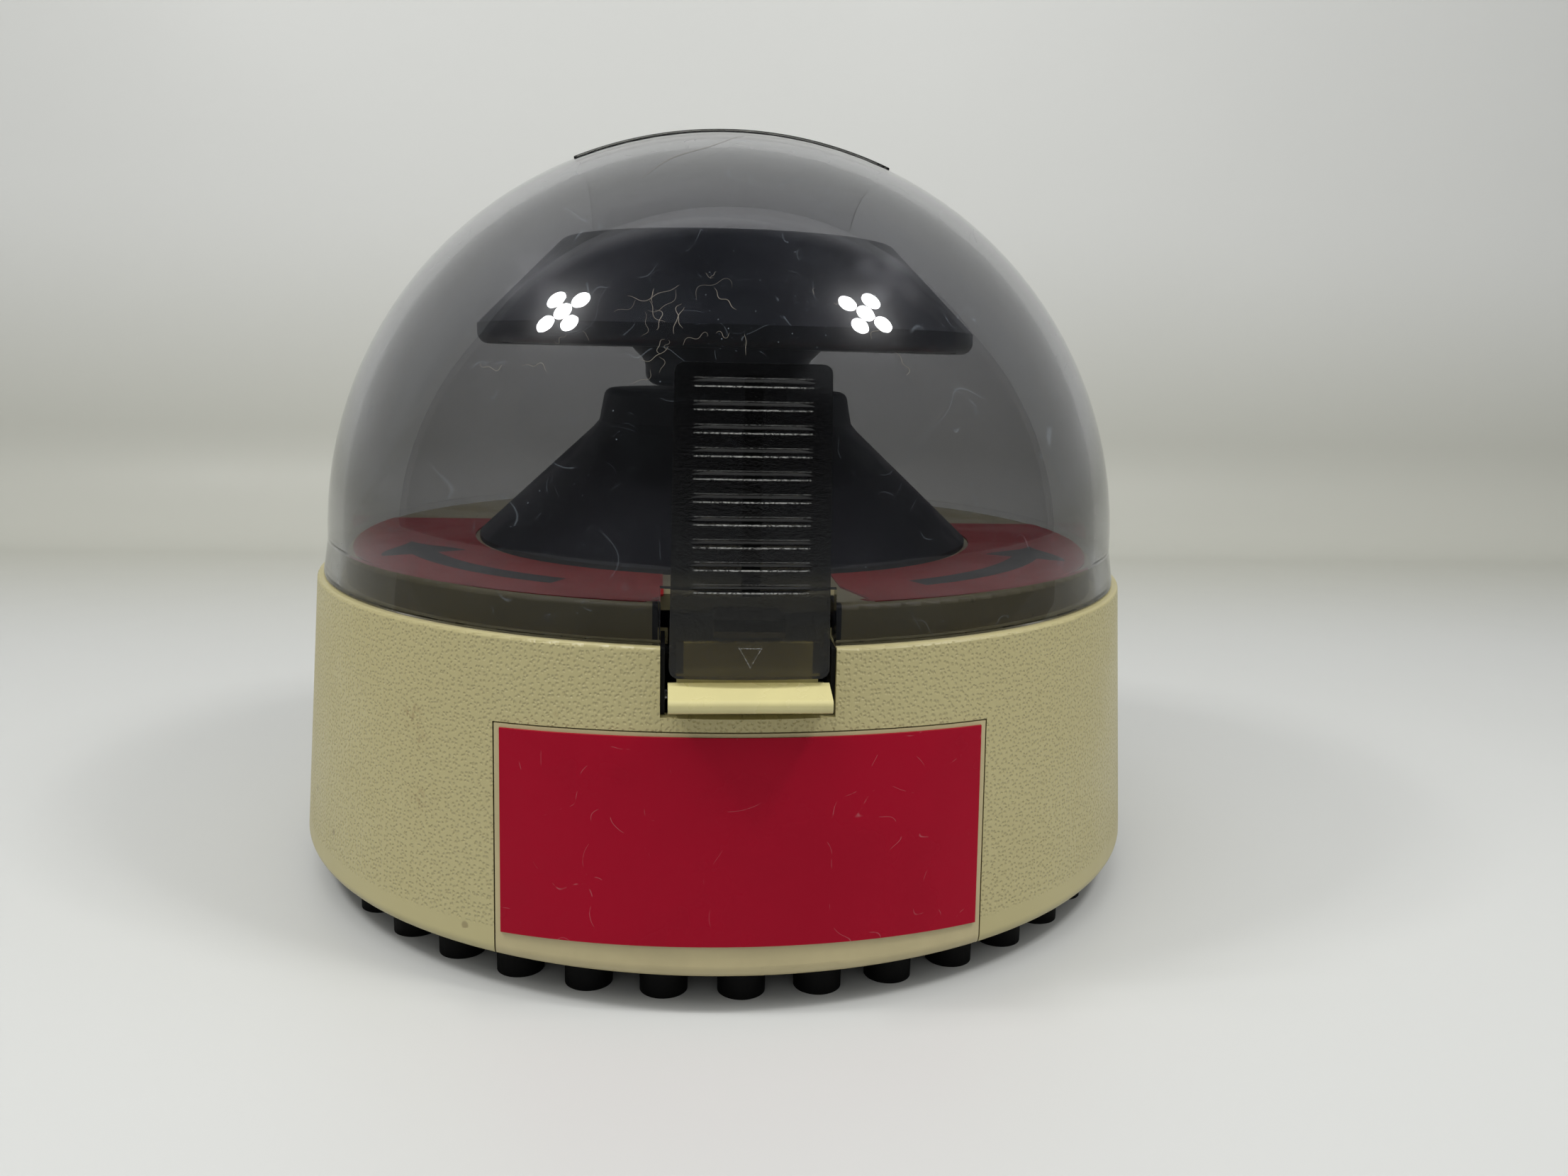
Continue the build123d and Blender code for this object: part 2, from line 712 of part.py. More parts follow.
# Latch frame behind the notch, with the latch's pin and return springs
frame_wall = 1.6
frame_half_width = notch_half_width + frame_wall + 0.35
frame_inner_half = frame_half_width - frame_wall
housing_inside = base_radius_at(joint_height - flange_thickness) - base_wall
frame_front_y = moving_gap - (housing_inside**2 - frame_half_width**2) ** 0.5
frame_back_y = notch_depth_y - 1.1
frame_floor = notch_floor - 2.0
frame_top = joint_height - flange_thickness
latch_barrel_radius = 1.9
plunger_y = latch_pivot_y + 3.3
plunger_radius = 1.1
cheek_outer = notch_half_width - 0.05
cheek_thickness = 0.6
cheek_front_y = -(base_top_radius - 1.6)
roof_front_y = latch_pivot_y + 1.8
tail_outer = 9.0
tail_inner = 6.0

with BuildPart() as latch_frame:
    with BuildSketch(Plane.XZ.offset(-frame_back_y)):
        with Locations((0, (frame_floor + frame_top) / 2)):
            Rectangle(2 * frame_half_width, frame_top - frame_floor)
    extrude(amount=frame_back_y - frame_front_y)
    with BuildSketch(Plane.XZ.offset(-frame_back_y + frame_wall)):
        with Locations((0, (frame_floor + frame_wall + frame_top + 5) / 2)):
            Rectangle(2 * frame_inner_half, frame_top + 5 - frame_floor - frame_wall)
    extrude(amount=20, mode=Mode.SUBTRACT)
    # cheeks that line the notch on both sides of the tongue
    with BuildSketch(Plane.XY.offset(notch_floor + 0.1)):
        for side in (-1, 1):
            with Locations((side * (cheek_outer - cheek_thickness / 2), (cheek_front_y + frame_back_y) / 2)):
                Rectangle(cheek_thickness, frame_back_y - cheek_front_y)
    extrude(amount=joint_height - 0.2 - notch_floor - 0.1)
    # roof over the springs
    with BuildSketch(Plane.XY.offset(frame_top - 1.2)):
        with Locations((0, (frame_back_y + roof_front_y) / 2)):
            Rectangle(2 * frame_inner_half + 0.4, frame_back_y - roof_front_y)
            Rectangle(2 * tail_inner - 1.2, 20, mode=Mode.SUBTRACT)
    extrude(amount=1.2)
    with BuildSketch(Plane.XY.offset(frame_floor)):
        with Locations((0, plunger_y)):
            Circle(plunger_radius + 0.08)
    extrude(amount=frame_wall, mode=Mode.SUBTRACT)
    with BuildSketch(Plane.YZ):
        with Locations((latch_pivot_y, latch_pivot_z)):
            Circle(latch_pin_radius)
    extrude(amount=20, both=True, mode=Mode.SUBTRACT)
    # legs down to the lid switch
    with BuildSketch(Plane.XY.offset(frame_floor - 1.6)):
        with Locations((-8, plunger_y - 0.6), (8, plunger_y - 0.6)):
            Rectangle(3, 5)
    extrude(amount=1.6)
latch_frame.part.label = "latch_frame"
export_step(latch_frame.part, "parts/latch_frame.step")

with BuildPart() as latch_pin:
    with BuildSketch(Plane.YZ):
        with Locations((latch_pivot_y, latch_pivot_z)):
            Circle(latch_pin_radius)
    extrude(amount=frame_half_width, both=True)
latch_pin.part.label = "latch_pin"
export_step(latch_pin.part, "parts/latch_pin.step")

spring_x = (tail_outer + tail_inner) / 2
spring_y = latch_pivot_y + 3.0
tail_top = latch_pivot_z + 1.0
spring_radius = 1.3
with BuildPart() as latch_springs:
    with BuildSketch(Plane.XY.offset(tail_top)):
        with Locations((-spring_x, spring_y), (spring_x, spring_y)):
            Circle(spring_radius)
            Circle(spring_radius - 0.4, mode=Mode.SUBTRACT)
    extrude(amount=frame_top - 1.2 - tail_top)
latch_springs.part.label = "latch_springs"
export_step(latch_springs.part, "parts/latch_springs.step")

# Release lever: the cream ledge, its bar, barrel, upright plate and two tails
upright_back_y = latch_pivot_y - 2.0
upright_thickness = 1.0
upright_top = latch_pivot_z + 8.4
upright_half_width = ledge_half_width - 1.2
barb_y = latch_pivot_y - 1.3
barb_z = latch_pivot_z + 5.6

with BuildPart() as latch_lever:
    with BuildSketch(Plane.YZ) as ledge_profile:
        with BuildLine():
            Polyline(
                (ledge_front_y, ledge_bottom),
                (ledge_front_y, ledge_bottom + 1.75),
                (latch_pivot_y - 5.8, latch_pivot_z + 3.4),
                (latch_pivot_y - 5.1, latch_pivot_z + 3.0),
                (latch_pivot_y - 4.4, latch_pivot_z + 1.8),
                (latch_pivot_y, latch_pivot_z + latch_barrel_radius),
                (latch_pivot_y, latch_pivot_z - latch_barrel_radius),
                (latch_pivot_y - 2.6, latch_pivot_z - 1.1),
                (latch_pivot_y - 3.8, ledge_bottom),
                close=True,
            )
        make_face()
        nose = ledge_profile.vertices().group_by(Axis.X)[0]
        fillet(nose, radius=0.8)
        with Locations((latch_pivot_y, latch_pivot_z)):
            Circle(latch_barrel_radius)
    extrude(amount=ledge_half_width, both=True)
    # upright plate behind the tongue, with the barb at its middle
    with BuildSketch(Plane.XZ.offset(-upright_back_y)):
        with Locations((0, (latch_pivot_z + 1.0 + upright_top) / 2)):
            Rectangle(2 * upright_half_width, upright_top - latch_pivot_z - 1.0)
    extrude(amount=upright_thickness)
    with BuildSketch(Plane.YZ):
        with BuildLine():
            Polyline(
                (upright_back_y - 0.2, barb_z + 1.6),
                (upright_back_y + 0.2, barb_z + 1.6),
                (barb_y, barb_z + 0.4),
                (barb_y, barb_z),
                (upright_back_y - 0.2, barb_z),
                close=True,
            )
        make_face()
    extrude(amount=4.0, both=True)
    # tails under the springs
    for side in (-1, 1):
        with BuildSketch(Plane.YZ.offset(side * spring_x)):
            with Locations((latch_pivot_y + 2.2, latch_pivot_z)):
                Rectangle(4.4, 2.0)
        extrude(amount=(tail_outer - tail_inner) / 2, both=True)
    with BuildSketch(Plane.YZ):
        with Locations((latch_pivot_y, latch_pivot_z)):
            Circle(latch_pin_radius + running_gap)
    extrude(amount=20, both=True, mode=Mode.SUBTRACT)
latch_lever.part.label = "latch_lever"
export_step(latch_lever.part, "parts/latch_lever.step")

# Lid switch under the frame, with its plunger
switch_top = frame_floor - 1.6
switch_height = 10.0
catch_bottom = barb_z - 1.1
plunger_top = catch_bottom - moving_gap
plunger_bottom = switch_top - 3.3
plunger_travel = 1.5
with BuildPart() as lid_switch:
    with BuildSketch(Plane.XY.offset(switch_top - switch_height)):
        with Locations((0, plunger_y - 0.6)):
            Rectangle(20, 6.4)
    extrude(amount=switch_height)
    with BuildSketch(Plane.XY.offset(plunger_bottom - plunger_travel - 0.5)):
        with Locations((0, plunger_y)):
            Circle(plunger_radius + 0.08)
    extrude(amount=20, mode=Mode.SUBTRACT)
    # solder tags
    with BuildSketch(Plane.XY.offset(switch_top - switch_height - 4.0)):
        with Locations((-7, plunger_y - 0.6), (0, plunger_y - 0.6), (7, plunger_y - 0.6)):
            Rectangle(0.6, 3.0)
    extrude(amount=4.0)
lid_switch.part.label = "lid_switch"
export_step(lid_switch.part, "parts/lid_switch.step")

with BuildPart() as switch_plunger:
    with BuildSketch(Plane.XY.offset(plunger_bottom)):
        with Locations((0, plunger_y)):
            Circle(plunger_radius)
    extrude(amount=plunger_top - plunger_bottom)
    chamfer(switch_plunger.edges().filter_by(GeomType.CIRCLE).sort_by(Axis.Z)[-1], length=0.4)
switch_plunger.part.label = "switch_plunger"
export_step(switch_plunger.part, "parts/switch_plunger.step")

# Rotor: a black cone with six tube holes, its hub and its knob
dish_floor_radius = rim_inner_radius - dish_depth
hub_sleeve_radius = shaft_radius + hub_bore_wall
hub_bottom = tower_top + 0.6
dish_point_z = rotor_top - (rim_inner_radius - tube_circle_radius)

with BuildPart() as rotor_body:
    with BuildSketch(Plane.XZ) as rotor_profile:
        with BuildLine():
            Polyline(
                (hub_sleeve_radius + running_gap, rotor_bottom),
                (rotor_radius, rotor_bottom),
                (rotor_radius, rotor_bottom + rotor_rim_height),
                (rotor_top_outer, rotor_top),
                (rim_inner_radius, rotor_top),
                (dish_floor_radius, dish_floor),
                (hub_sleeve_radius + 3.0, dish_floor),
                (hub_sleeve_radius + 3.0, boss_top),
                (hub_sleeve_radius + running_gap, boss_top),
                close=True,
            )
        make_face()
        rim_corners = rotor_profile.vertices().group_by(Axis.X)[-1].sort_by(Axis.Y)
        fillet(rim_corners[0], radius=rotor_low_round)
        fillet(rim_corners[-1], radius=rotor_high_round)
        fillet(rotor_profile.vertices().group_by(Axis.Y)[-1], radius=0.8)
    revolve(axis=Axis.Z)
    # tube holes, square to the dish and leaning out at the tube angle
    for k in range(tube_count):
        turn = 360 / tube_count * (k + 0.5)
        mouth = Vector(
            tube_circle_radius * cos(radians(turn)),
            tube_circle_radius * sin(radians(turn)),
            dish_point_z,
        )
        outward = Vector(
            sin(radians(tube_angle)) * cos(radians(turn)),
            sin(radians(tube_angle)) * sin(radians(turn)),
            -cos(radians(tube_angle)),
        )
        with BuildSketch(Plane(origin=mouth - outward * 8.0, z_dir=outward)):
            Circle(tube_hole_radius)
        extrude(amount=50, mode=Mode.SUBTRACT)
rotor_body.part.label = "rotor_body"
export_step(rotor_body.part, "parts/rotor_body.step")

with BuildPart() as rotor_hub:
    with BuildSketch(Plane.XZ) as hub_profile:
        with BuildLine():
            Polyline(
                (shaft_radius, hub_bottom),
                (hub_radius, hub_bottom),
                (hub_radius, rotor_bottom - hub_root_round),
                (hub_radius + hub_root_round, rotor_bottom),
                (hub_sleeve_radius, rotor_bottom),
                (hub_sleeve_radius, boss_top),
                (shaft_radius, boss_top),
                close=True,
            )
        make_face()
        flare = hub_profile.vertices().group_by(Axis.X)[-2]
        fillet(flare, radius=hub_root_round)
    revolve(axis=Axis.Z)
rotor_hub.part.label = "rotor_hub"
export_step(rotor_hub.part, "parts/rotor_hub.step")

knob_radius = 6.6
knob_top = boss_top + 6.5
knob_flutes = 12
with BuildPart() as rotor_knob:
    with BuildSketch(Plane.XY.offset(boss_top)):
        Circle(knob_radius)
        with PolarLocations(knob_radius + 0.35, knob_flutes):
            Circle(0.9, mode=Mode.SUBTRACT)
    extrude(amount=knob_top - boss_top)
    with BuildSketch(Plane.XY.offset(boss_top)):
        Circle(shaft_radius)
    extrude(amount=shaft_top - boss_top, mode=Mode.SUBTRACT)
rotor_knob.part.label = "rotor_knob"
export_step(rotor_knob.part, "parts/rotor_knob.step")

# Dome lid: skirt and dome in one clear moulding, with the slot for the tongue
# and the knuckle of the hinge
slot_top = joint_height + 7.8
with BuildPart() as dome:
    with BuildSketch(Plane.XZ):
        with BuildLine():
            Line((dome_skirt_radius - dome_wall, joint_height), (dome_skirt_radius - dome_edge, joint_height))
            Line((dome_skirt_radius - dome_edge, joint_height), (dome_skirt_radius, joint_height + dome_edge))
            Line((dome_skirt_radius, joint_height + dome_edge), (dome_radius, spring_line))
            CenterArc((0, spring_line), dome_radius, 0, 90)
            Line((0, spring_line + dome_radius), (0, spring_line + dome_radius - dome_wall))
            CenterArc((0, spring_line), dome_radius - dome_wall, 0, 90)
            Line((dome_radius - dome_wall, spring_line), (dome_skirt_radius - dome_wall, joint_height))
        make_face()
    revolve(axis=Axis.Z)
    with BuildSketch(Plane.XZ.offset(dome_radius - 21)):
        with Locations((0, (slot_top + joint_height - 2) / 2)):
            Rectangle(2 * notch_half_width, slot_top - joint_height + 2)
    extrude(amount=30, mode=Mode.SUBTRACT)
    # arm and knuckle
    with BuildSketch(Plane.YZ):
        with BuildLine():
            Polyline(
                (dome_skirt_radius - 1.0, joint_height + 0.3),
                (hinge_axis_y - 1.5, joint_height + 0.3),
                (hinge_axis_y, hinge_axis_z),
                (hinge_axis_y + knuckle_radius, hinge_axis_z),
                (hinge_axis_y + knuckle_radius, joint_height + 2.5),
                (dome_radius - 0.9, joint_height + 7.5),
                close=True,
            )
        make_face()
        with Locations((hinge_axis_y, hinge_axis_z)):
            Circle(knuckle_radius)
    extrude(amount=knuckle_half_width, both=True)
    with BuildSketch(Plane.YZ):
        with Locations((hinge_axis_y, hinge_axis_z)):
            Circle(hinge_pin_radius + running_gap)
    extrude(amount=30, both=True, mode=Mode.SUBTRACT)
dome.part.label = "dome"
export_step(dome.part, "parts/dome.step")

# Lid tongue: the textured grip plate in front of the dome, on its rib, with the catch
rib_thickness = 2.4
rib_top = tongue_top - 1.6
catch_half_width = 4.8
catch_top = joint_height + 4.0
with BuildPart() as lid_tongue:
    with BuildSketch(Plane.XZ):
        with BuildLine():
            Polyline(
                (tongue_radius_at(tongue_bottom), tongue_bottom),
                (tongue_radius_at(tongue_top), tongue_top),
                (tongue_radius_at(tongue_top) - tongue_thickness, tongue_top),
                (tongue_radius_at(tongue_bottom) - tongue_thickness, tongue_bottom),
                close=True,
            )
        make_face()
    revolve(axis=Axis.Z)
    with BuildSketch(Plane.XZ.offset(dome_radius - 21)) as tongue_outline:
        with BuildLine():
            Polyline(
                (-tongue_bottom_half_width, tongue_bottom),
                (tongue_bottom_half_width, tongue_bottom),
                (tongue_top_half_width, tongue_top),
                (-tongue_top_half_width, tongue_top),
                close=True,
            )
        make_face()
        fillet(tongue_outline.vertices(), radius=1.3)
    extrude(amount=40, mode=Mode.INTERSECT)
    for k in range(groove_count):
        height = groove_first_height + k * groove_pitch
        centre_y = -tongue_radius_at(height) + groove_depth - groove_radius
        with BuildSketch(Plane.YZ):
            with Locations((centre_y, height)):
                Circle(groove_radius)
        extrude(amount=20, both=True, mode=Mode.SUBTRACT)
    # rib between the plate and the dome
    with BuildSketch(Plane.YZ):
        with BuildLine():
            Polyline(
                (-tongue_radius_at(slot_top) + 1.0, slot_top + 0.2),
                (-tongue_radius_at(rib_top) + 1.0, rib_top),
                (-(dome_radius - 13.1), rib_top),
                (-(dome_radius - 5.1), slot_top + 0.2),
                close=True,
            )
        make_face()
    extrude(amount=rib_thickness / 2, both=True)
    with BuildSketch(Plane.XZ):
        with BuildLine():
            Line((0, joint_height), (dome_skirt_radius, joint_height))
            Line((dome_skirt_radius, joint_height), (dome_radius, spring_line))
            CenterArc((0, spring_line), dome_radius, 0, 90)
            Line((0, spring_line + dome_radius), (0, joint_height))
        make_face()
    revolve(axis=Axis.Z, mode=Mode.SUBTRACT)
    # catch through the slot, behind the latch's nose
    with BuildSketch(Plane.YZ):
        with BuildLine():
            Polyline(
                (-tongue_radius_at(catch_top) + 1.0, catch_top - 2.4),
                (-tongue_radius_at(catch_top) + 1.0, catch_top),
                (plunger_y + 0.7, catch_top),
                (plunger_y + 0.7, catch_bottom),
                (latch_pivot_y - 1.0, catch_bottom),
                (latch_pivot_y - 1.0, catch_bottom + 0.8),
                (latch_pivot_y - 0.3, catch_bottom + 1.4),
                (latch_pivot_y - 0.3, catch_top - 2.4),
                close=True,
            )
        make_face()
    extrude(amount=catch_half_width, both=True)
lid_tongue.part.label = "lid_tongue"
export_step(lid_tongue.part, "parts/lid_tongue.step")

# Thin sheet stuck over the top of the dome
sheet_thickness = 0.35
sheet_half_width = 27.0
sheet_front_y = -12.5
sheet_back_y = 34.0
with BuildPart() as top_sheet:
    with BuildSketch(Plane.XZ):
        with BuildLine():
            CenterArc((0, spring_line), dome_radius, 0, 90)
            CenterArc((0, spring_line), dome_radius + sheet_thickness, 0, 90)
            Line((dome_radius, spring_line), (dome_radius + sheet_thickness, spring_line))
            Line((0, spring_line + dome_radius), (0, spring_line + dome_radius + sheet_thickness))
        make_face()
    revolve(axis=Axis.Z)
    with BuildSketch(Plane.XY.offset(spring_line + 20)):
        with Locations((0, (sheet_front_y + sheet_back_y) / 2)):
            Rectangle(2 * sheet_half_width, sheet_back_y - sheet_front_y)
    extrude(amount=80, mode=Mode.INTERSECT)
top_sheet.part.label = "top_sheet"
export_step(top_sheet.part, "parts/top_sheet.step")
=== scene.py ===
# %% [markdown]
# # A mini centrifuge in its finishes
#
# The part is a round bench instrument: a tapered cream base, a smoked dome that
# hinges at the back, and a small black rotor inside. Its shapes come from the CAD
# model, so this lesson is mostly about finishes: grained plastic, a printed film,
# rubber, and above all a clear dark dome that still lets the inside be seen.
#
# Every number is in metres, in the CAD model's own frame: the rotor's axis is the
# Z axis, the bench is at z = 0 and the front of the object faces -Y.

import math

import bpy
import numpy as np
from mathutils import Matrix, Vector


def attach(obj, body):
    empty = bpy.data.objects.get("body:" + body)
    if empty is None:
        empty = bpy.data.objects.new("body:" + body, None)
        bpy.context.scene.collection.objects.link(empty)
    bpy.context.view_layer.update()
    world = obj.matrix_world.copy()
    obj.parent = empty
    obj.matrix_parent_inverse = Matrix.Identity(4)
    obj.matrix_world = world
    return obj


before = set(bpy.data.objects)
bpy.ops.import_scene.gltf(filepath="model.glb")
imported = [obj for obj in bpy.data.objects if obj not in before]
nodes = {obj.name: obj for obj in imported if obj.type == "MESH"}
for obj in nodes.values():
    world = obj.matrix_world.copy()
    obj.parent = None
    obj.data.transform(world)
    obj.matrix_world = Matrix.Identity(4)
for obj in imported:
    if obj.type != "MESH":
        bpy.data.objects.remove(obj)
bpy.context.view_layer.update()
scene = bpy.context.scene

# %% [markdown]
# ## Short names for building materials
#
# A material is a small graph of nodes. Writing each one out by hand takes many
# lines, so a few helpers do it: one adds a node and sets its sockets by name, some
# do a step of arithmetic or a mix, one starts a new material, and one starts a node
# group that several materials share.

# %% Add a node and link it
def set_socket(tree, socket, value):
    """Link a socket to value if value is itself a socket, or else give it that value."""
    if isinstance(value, bpy.types.NodeSocket):
        tree.links.new(value, socket)
    else:
        socket.default_value = value


def put(tree, kind, **values):
    """Add a node. A lower-case key sets a property, any other a socket, and _ stands for a space."""
    node = tree.nodes.new(kind)
    for key, value in values.items():
        if key[0].islower():
            setattr(node, key, value)
    for key, value in values.items():
        if not key[0].islower():
            socket = next(s for s in node.inputs if s.name == key.replace("_", " ") and s.enabled)
            set_socket(tree, socket, value)
    return node


def out(node, name=0):
    """An output socket of a node, by name or number."""
    if isinstance(name, int):
        return [s for s in node.outputs if s.enabled][name]
    return next(s for s in node.outputs if s.name == name and s.enabled)


def feed(tree, node, **links):
    """Link sockets into a node's inputs, where _ stands for a space."""
    for key, socket in links.items():
        tree.links.new(socket, node.inputs[key.replace("_", " ")])


print("node helpers ready")

# %% Arithmetic and mixes
def calc(tree, operation, a, b=0.0, c=0.0, clamp=False):
    """One step of arithmetic: the result of a Math node on numbers or sockets."""
    node = tree.nodes.new("ShaderNodeMath")
    node.operation = operation
    node.use_clamp = clamp
    for socket, value in zip(node.inputs, (a, b, c)):
        set_socket(tree, socket, value)
    return node.outputs[0]


def times(tree, *masks):
    """The product of masks: 1 only where all of them are 1."""
    product = masks[0]
    for mask in masks[1:]:
        product = calc(tree, "MULTIPLY", product, mask)
    return product


def distance_from(tree, value, middle):
    """How far value is from middle, whichever is larger."""
    return calc(tree, "ABSOLUTE", calc(tree, "SUBTRACT", value, middle))


def between(tree, value, low, high):
    """A mask that is 1 where value lies between low and high."""
    return times(tree, calc(tree, "GREATER_THAN", value, low), calc(tree, "LESS_THAN", value, high))


def ramp(tree, value, low, high, to_low=0.0, to_high=1.0):
    """Smoothly carry value from low..high to to_low..to_high, clamped at both ends."""
    node = put(tree, "ShaderNodeMapRange", interpolation_type="SMOOTHSTEP", Value=value,
               From_Min=low, From_Max=high, To_Min=to_low, To_Max=to_high)
    return out(node, "Result")


def blend_colour(tree, share, first, second):
    """Mix two colours: share 0 gives the first and 1 the second."""
    node = tree.nodes.new("ShaderNodeMix")
    node.data_type = "RGBA"
    set_socket(tree, node.inputs[0], share)
    for socket, colour in ((node.inputs[6], first), (node.inputs[7], second)):
        set_socket(tree, socket, (*colour, 1.0) if isinstance(colour, tuple) else colour)
    return node.outputs[2]


def blend_shaders(tree, share, first, second):
    """Mix two shaders: share 0 gives the first and 1 the second."""
    node = tree.nodes.new("ShaderNodeMixShader")
    for socket, source in zip(node.inputs, (share, first.outputs[0], second.outputs[0])):
        tree.links.new(source, socket)
    return node


print("arithmetic ready")

# %% Start a material or a shared group
def new_material(name, colour, roughness, **sockets):
    """A material with one Principled shader: gives it, its tree, its shader and Object coordinates."""
    material = bpy.data.materials.new(name)
    material.use_nodes = True
    material.diffuse_color = (*colour, 1.0)
    tree = material.node_tree
    shader = tree.nodes["Principled BSDF"]
    shader.inputs["Base Color"].default_value = (*colour, 1.0)
    shader.inputs["Roughness"].default_value = roughness
    for key, value in sockets.items():
        shader.inputs[key.replace("_", " ")].default_value = value
    place = out(put(tree, "ShaderNodeTexCoord"), "Object")
    return material, tree, shader, place


def raise_surface(tree, shader, height, strength, distance):
    """Let the shader see a relief: height times distance, in metres."""
    bump = put(tree, "ShaderNodeBump", Strength=strength, Distance=distance, Height=height)
    feed(tree, shader, Normal=bump.outputs[0])


def show(tree, surface):
    """Send a shader to the material's output."""
    feed(tree, tree.nodes["Material Output"], Surface=surface.outputs[0])


def new_group(name, takes, gives):
    """An empty node group. takes and gives are {socket name: default}, and a tuple default makes a vector."""
    group = bpy.data.node_groups.new(name, "ShaderNodeTree")
    for direction, table in (("INPUT", takes), ("OUTPUT", gives)):
        for key, value in table.items():
            kind = "NodeSocketVector" if isinstance(value, tuple) else "NodeSocketFloat"
            socket = group.interface.new_socket(key, in_out=direction, socket_type=kind)
            if direction == "INPUT" and not isinstance(value, tuple):
                socket.default_value = value
    start = group.nodes.new("NodeGroupInput")
    end = group.nodes.new("NodeGroupOutput")
    return group, start, end


def use_group(tree, group, **values):
    """Place a shared group in a material and set its inputs."""
    node = tree.nodes.new("ShaderNodeGroup")
    node.node_tree = group
    for key, value in values.items():
        set_socket(tree, node.inputs[key.replace("_", " ")], value)
    return node


print("material helpers ready")

# %% [markdown]
# ## Grain, dust and handling
#
# The base is moulded against an etched tool that leaves a fine leather look: a
# gently rolling skin with a small soft pit every three quarters of a millimetre.
# The wall is unrolled first: the angle round the Z axis times the radius, and the
# height. On that flat sheet a Voronoi pattern scatters one centre per cell, so the
# distance to the nearest centre makes a round pit. Bending the coordinates with
# noise first stretches each pit its own way. A picture of leather could be wrapped
# round instead, but it would repeat and blur close up. Here the only seam is where
# the angle jumps, at the back.

# %% Pitted grain
WALL_RADIUS = 0.0745
PIT_EDGE = (0.42, 0.04)  # share of a cell where a pit starts and where it is full depth
grain_inputs = {"Place": (0, 0, 0), "Cell size": 0.0008}
grain, start, end = new_group("pitted_grain", grain_inputs, {"Height": 0.0, "Pit": 0.0})
place, cell_size = start.outputs["Place"], start.outputs["Cell size"]
scale = calc(grain, "DIVIDE", 1.0, cell_size)
axes = put(grain, "ShaderNodeSeparateXYZ", Vector=place)
turn = calc(grain, "ARCTAN2", out(axes, "X"), calc(grain, "MULTIPLY", out(axes, "Y"), -1.0))
flat = put(grain, "ShaderNodeCombineXYZ", X=calc(grain, "MULTIPLY", turn, WALL_RADIUS), Y=out(axes, "Z"))
bend = put(grain, "ShaderNodeTexNoise", Vector=place, Scale=calc(grain, "MULTIPLY", scale, 0.8), Detail=1.0)
offset = put(grain, "ShaderNodeVectorMath", operation="SCALE", Vector=out(bend, "Color"),
             Scale=calc(grain, "MULTIPLY", cell_size, 0.6))
bent = put(grain, "ShaderNodeVectorMath", operation="ADD")
grain.links.new(flat.outputs[0], bent.inputs[0])
grain.links.new(offset.outputs[0], bent.inputs[1])
cells = put(grain, "ShaderNodeTexVoronoi", voronoi_dimensions="2D", feature="F1", Vector=bent.outputs[0],
            Scale=scale, Randomness=0.8)
pit = ramp(grain, out(cells, "Distance"), *PIT_EDGE)
roll = put(grain, "ShaderNodeTexNoise", Vector=place, Scale=calc(grain, "MULTIPLY", scale, 0.45), Detail=1.0)
rolling = calc(grain, "MULTIPLY", out(roll, "Fac"), 0.5)
feed(grain, end, Height=calc(grain, "SUBTRACT", rolling, pit), Pit=pit)
print("group:", grain.name)

# %% [markdown]
# Handling leaves soft patches that are a little shinier or duller, and dust
# settles in scattered specks. Both are masks from 0 to 1 that each material uses
# as it likes, in its colour or in its roughness. Each is a node group, built once,
# because many finishes need it at different sizes.

# %% Handling patches
patches, start, end = new_group("handling_patches", {"Place": (0, 0, 0), "Patch size": 0.02}, {"Patch": 0.0})
cloud = put(patches, "ShaderNodeTexNoise", Vector=start.outputs["Place"],
            Scale=calc(patches, "DIVIDE", 1.0, start.outputs["Patch size"]), Detail=4.0, Roughness=0.6)
feed(patches, end, Patch=ramp(patches, out(cloud, "Fac"), 0.35, 0.68))
print("group:", patches.name)

# %% Specks
speck_inputs = {"Place": (0, 0, 0), "Spacing": 0.003, "Size": 0.12, "Cover": 0.5}
specks, start, end = new_group("dust_specks", speck_inputs, {"Speck": 0.0})
place = start.outputs["Place"]
per_metre = calc(specks, "DIVIDE", 1.0, start.outputs["Spacing"])
dots = put(specks, "ShaderNodeTexVoronoi", feature="F1", Vector=place, Scale=per_metre, Randomness=1.0)
near = calc(specks, "SUBTRACT", start.outputs["Size"], out(dots, "Distance"))
drift = put(specks, "ShaderNodeTexNoise", Vector=place, Scale=calc(specks, "MULTIPLY", per_metre, 0.12),
            Detail=2.0)
covered = calc(specks, "GREATER_THAN", start.outputs["Cover"], out(drift, "Fac"))
feed(specks, end, Speck=times(specks, ramp(specks, near, 0.0, 0.05), covered))
print("group:", specks.name)

# %% [markdown]
# A hair-fine scratch is a curve. Where a slow noise crosses its middle value it
# draws just such curves, so the mask is a narrow band round that value, cut into
# short runs by a second noise. Stretched noise would draw scratches too, but all of
# them in one direction.

